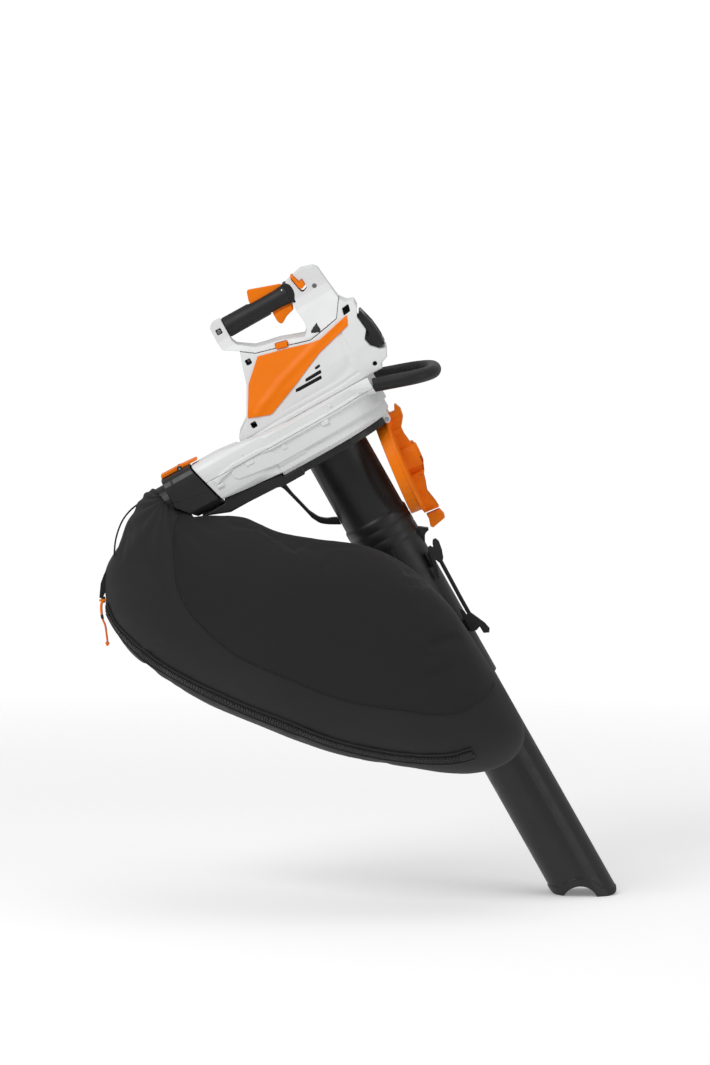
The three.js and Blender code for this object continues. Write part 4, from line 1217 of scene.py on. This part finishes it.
def battery_lines():
    """Raised lines along the battery's outer edge, and ribs across its back."""
    route = [(148.8, 181.0), (153.0, 166), (155.6, 150), (157.0, 135), (157.4, 122), (156.6, 114.6)]
    for name, y in (("near", -37.0), ("far", 37.0)):
        path = catmull([(x, y, z) for x, z in route], 40)
        line = tube_along("battery_line_" + name, path, 0.75, 10, HEAD)
        smooth_piece(line, "battery_plastic", PACK, body="battery")
    back = [(152.6, 179), (157.2, 166), (160.2, 152), (161.8, 138), (162.4, 126)]
    for i, y in enumerate((-24, -12, 0, 12, 24)):
        path = catmull([(x - 0.2, y, z) for x, z in back], 30)
        rib = tube_along("battery_rib_%d" % (i + 1), path, 1.0, 10, HEAD)
        smooth_piece(rib, "battery_plastic", PACK, body="battery")


def housing_clips():
    """Snap hooks and small pads on the fan housing's bag side."""
    for i, (x0, z0, x1, z1, front) in enumerate((
        (-139, 53, -124, 58.2, -129.2), (-72, 47.5, -64, 58.2, -128.4), (5, 50, 19, 58.2, -128.6),
        (-200, 44, -187, 50, -129.4),
    )):
        clip = block("housing_clip_%d" % (i + 1), (x0, front, z0), (x1, -124, z1), 0.9)
        smooth_piece(clip, "white_plastic", WHITE)
    profile = [(0.01, 1.0), (2.2, 0.9), (2.9, 0.3), (3.0, -2.5), (0.01, -2.5)]
    turn = Matrix.Rotation(math.radians(90), 4, "X")
    for i, (x, y, z) in enumerate(((-135.6, -126.2, 75), (-74.4, -126.2, 74.2), (32.9, -122.147, 74.2))):
        where = HEAD @ Matrix.Translation((x, y, z)) @ turn
        dot = lathe("housing_boss_%d" % (i + 1), profile, where, 28, closed=False)
        smooth_piece(dot, "white_plastic", WHITE)


def duct_fairing():
    """Fills the corner where the fan housing's stepped rim runs out along the duct."""
    sections = [
        (-90.5, [(-122, 14.3), (-122, 31), (-100, 31), (-100, 14.3)]),
        (-150, [(-117.5, 19.6), (-119, 34), (-100, 34), (-100, 19)]),
        (-194, [(-110, 24.8), (-112, 38), (-100, 38), (-100, 24.6)]),
    ]
    points = [(x, y, z) for x, ring in sections for y, z in ring]
    wedge = from_lists("duct_fairing", points, bar_faces(len(sections)), HEAD)
    soften(wedge, 2.5, 4)
    applied(wedge)
    smooth_piece(wedge, "white_plastic", WHITE)


def cover_ribs():
    """Cross ribs on the intake cover's spine and the seam ring on its cup."""
    where = HEAD @ COVER_FRAME
    for i, (x0, x1, top) in enumerate(((4.2, 6.2, 29.2), (75.2, 77.6, 33.2), (104.4, 106.4, 28.0))):
        rib = block("cover_rib_%d" % (i + 1), (x0, -16.0, 3.4), (x1, 16.0, top), 0.7, where)
        smooth_piece(rib, "orange_plastic", ORANGE, body="cover")
    profile = [(83.0, -1.4), (84.1, -1.2), (84.4, 0.2), (84.1, 1.6), (82.6, 1.8), (81.5, 0.2)]
    rim = lathe("cover_rim", profile, where @ Matrix.Translation((83, 0, 0)), 120)
    smooth_piece(rim, "orange_plastic", ORANGE, body="cover")


recesses()
vents()
seam_gap()
grip_end()
battery_lines()
housing_clips()
duct_fairing()
cover_ribs()


# ---------------------------------------------------------------- CAD nodes that stay as they are
inner_finish = {
    STEEL: ("bearing_lower", "bearing_upper", "drive_shaft", "trigger_pin", "lockout_pin",
            "lever_pin", "cover_hinge_pin", "trigger_spring", "lever_spring", "hub_nut"),
    DARK_STEEL: ("motor_plate", "motor_end_bell", "rotor_core", "shredder_blade"),
    COPPER: ("motor_stator",),
    BOARD: ("controller_board",),
    INNER: ("fan_wheel", "battery_terminal", "trigger_switch"),
}
for material, names in inner_finish.items():
    for name in names:
        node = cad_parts[name]
        node.data.materials.clear()
        node.data.materials.append(material)
        soften(node, 0.35, 2)


# ---------------------------------------------------------------- studio
def emitter(name, size, at, watts):
    """An area light that faces the middle of the object."""
    data = bpy.data.lights.new(name, "AREA")
    settle(data, shape="RECTANGLE", size=size[0], size_y=size[1], energy=watts)
    lamp = link(name, data)
    lamp.location = at
    lamp.rotation_mode = "QUATERNION"
    lamp.rotation_quaternion = (MIDDLE - Vector(at)).to_track_quat("-Z", "Y")
    return lamp


MIDDLE = Vector((0.12, 0, -0.45))
emitter("key", (1.6, 1.6), (-2.0, -2.4, 2.1), 62)
emitter("fill", (1.2, 2.6), (2.9, -1.6, 0.4), 13)
emitter("top", (2.2, 2.2), (0.3, 0.2, 2.6), 17)
emitter("back", (2.4, 1.8), (0.4, 3.2, 1.4), 5)

world = bpy.data.worlds.new("studio")
scene.world = world
world.use_nodes = True
background = next(n for n in world.node_tree.nodes if n.type == "BACKGROUND")
background.inputs["Color"].default_value = (1, 1, 1, 1)
# Softer as a light than it looks as the backdrop.
seen = add(world.node_tree, "ShaderNodeLightPath")
strength = ramp_between(world.node_tree, seen.outputs["Is Camera Ray"], 0.44, 1.02, 0, 1)
world.node_tree.links.new(strength, background.inputs["Strength"])

# Pale paper floor that fades into the backdrop far from the object.
floor_material, floor_tree, floor_shader = nodes_of("floor_paper")
settle(floor_shader, Base_Color=(0.97, 0.97, 0.97, 1), Roughness=0.9, Specular_IOR_Level=0.1,
       Emission_Color=(1, 1, 1, 1), Emission_Strength=0.2)
place = add(floor_tree, "ShaderNodeNewGeometry")
reach = add(floor_tree, "ShaderNodeVectorMath", operation="LENGTH")
floor_tree.links.new(place.outputs["Position"], reach.inputs[0])
floor_tree.links.new(
    ramp_between(floor_tree, reach.outputs["Value"], 1, 0, 1.5, 2.9), floor_shader.inputs["Alpha"]
)
FLOOR_REACH = 3
floor = from_lists(
    "floor",
    [(FLOOR_REACH * x, FLOOR_REACH * y, FLOOR_Z) for x, y in ((-1, -1), (1, -1), (1, 1), (-1, 1))],
    [(0, 1, 2, 3)],
)
floor.data.materials.append(floor_material)
scene.view_settings.view_transform = "Standard"

# ---------------------------------------------------------------- first points and lengths of the soft pieces, worked out and not kept
tuple(pull_path[0])
length_of(pull_path)
tuple(loop_path[0])
length_of(loop_path)
tuple(band_path[0])
length_of(band_path)
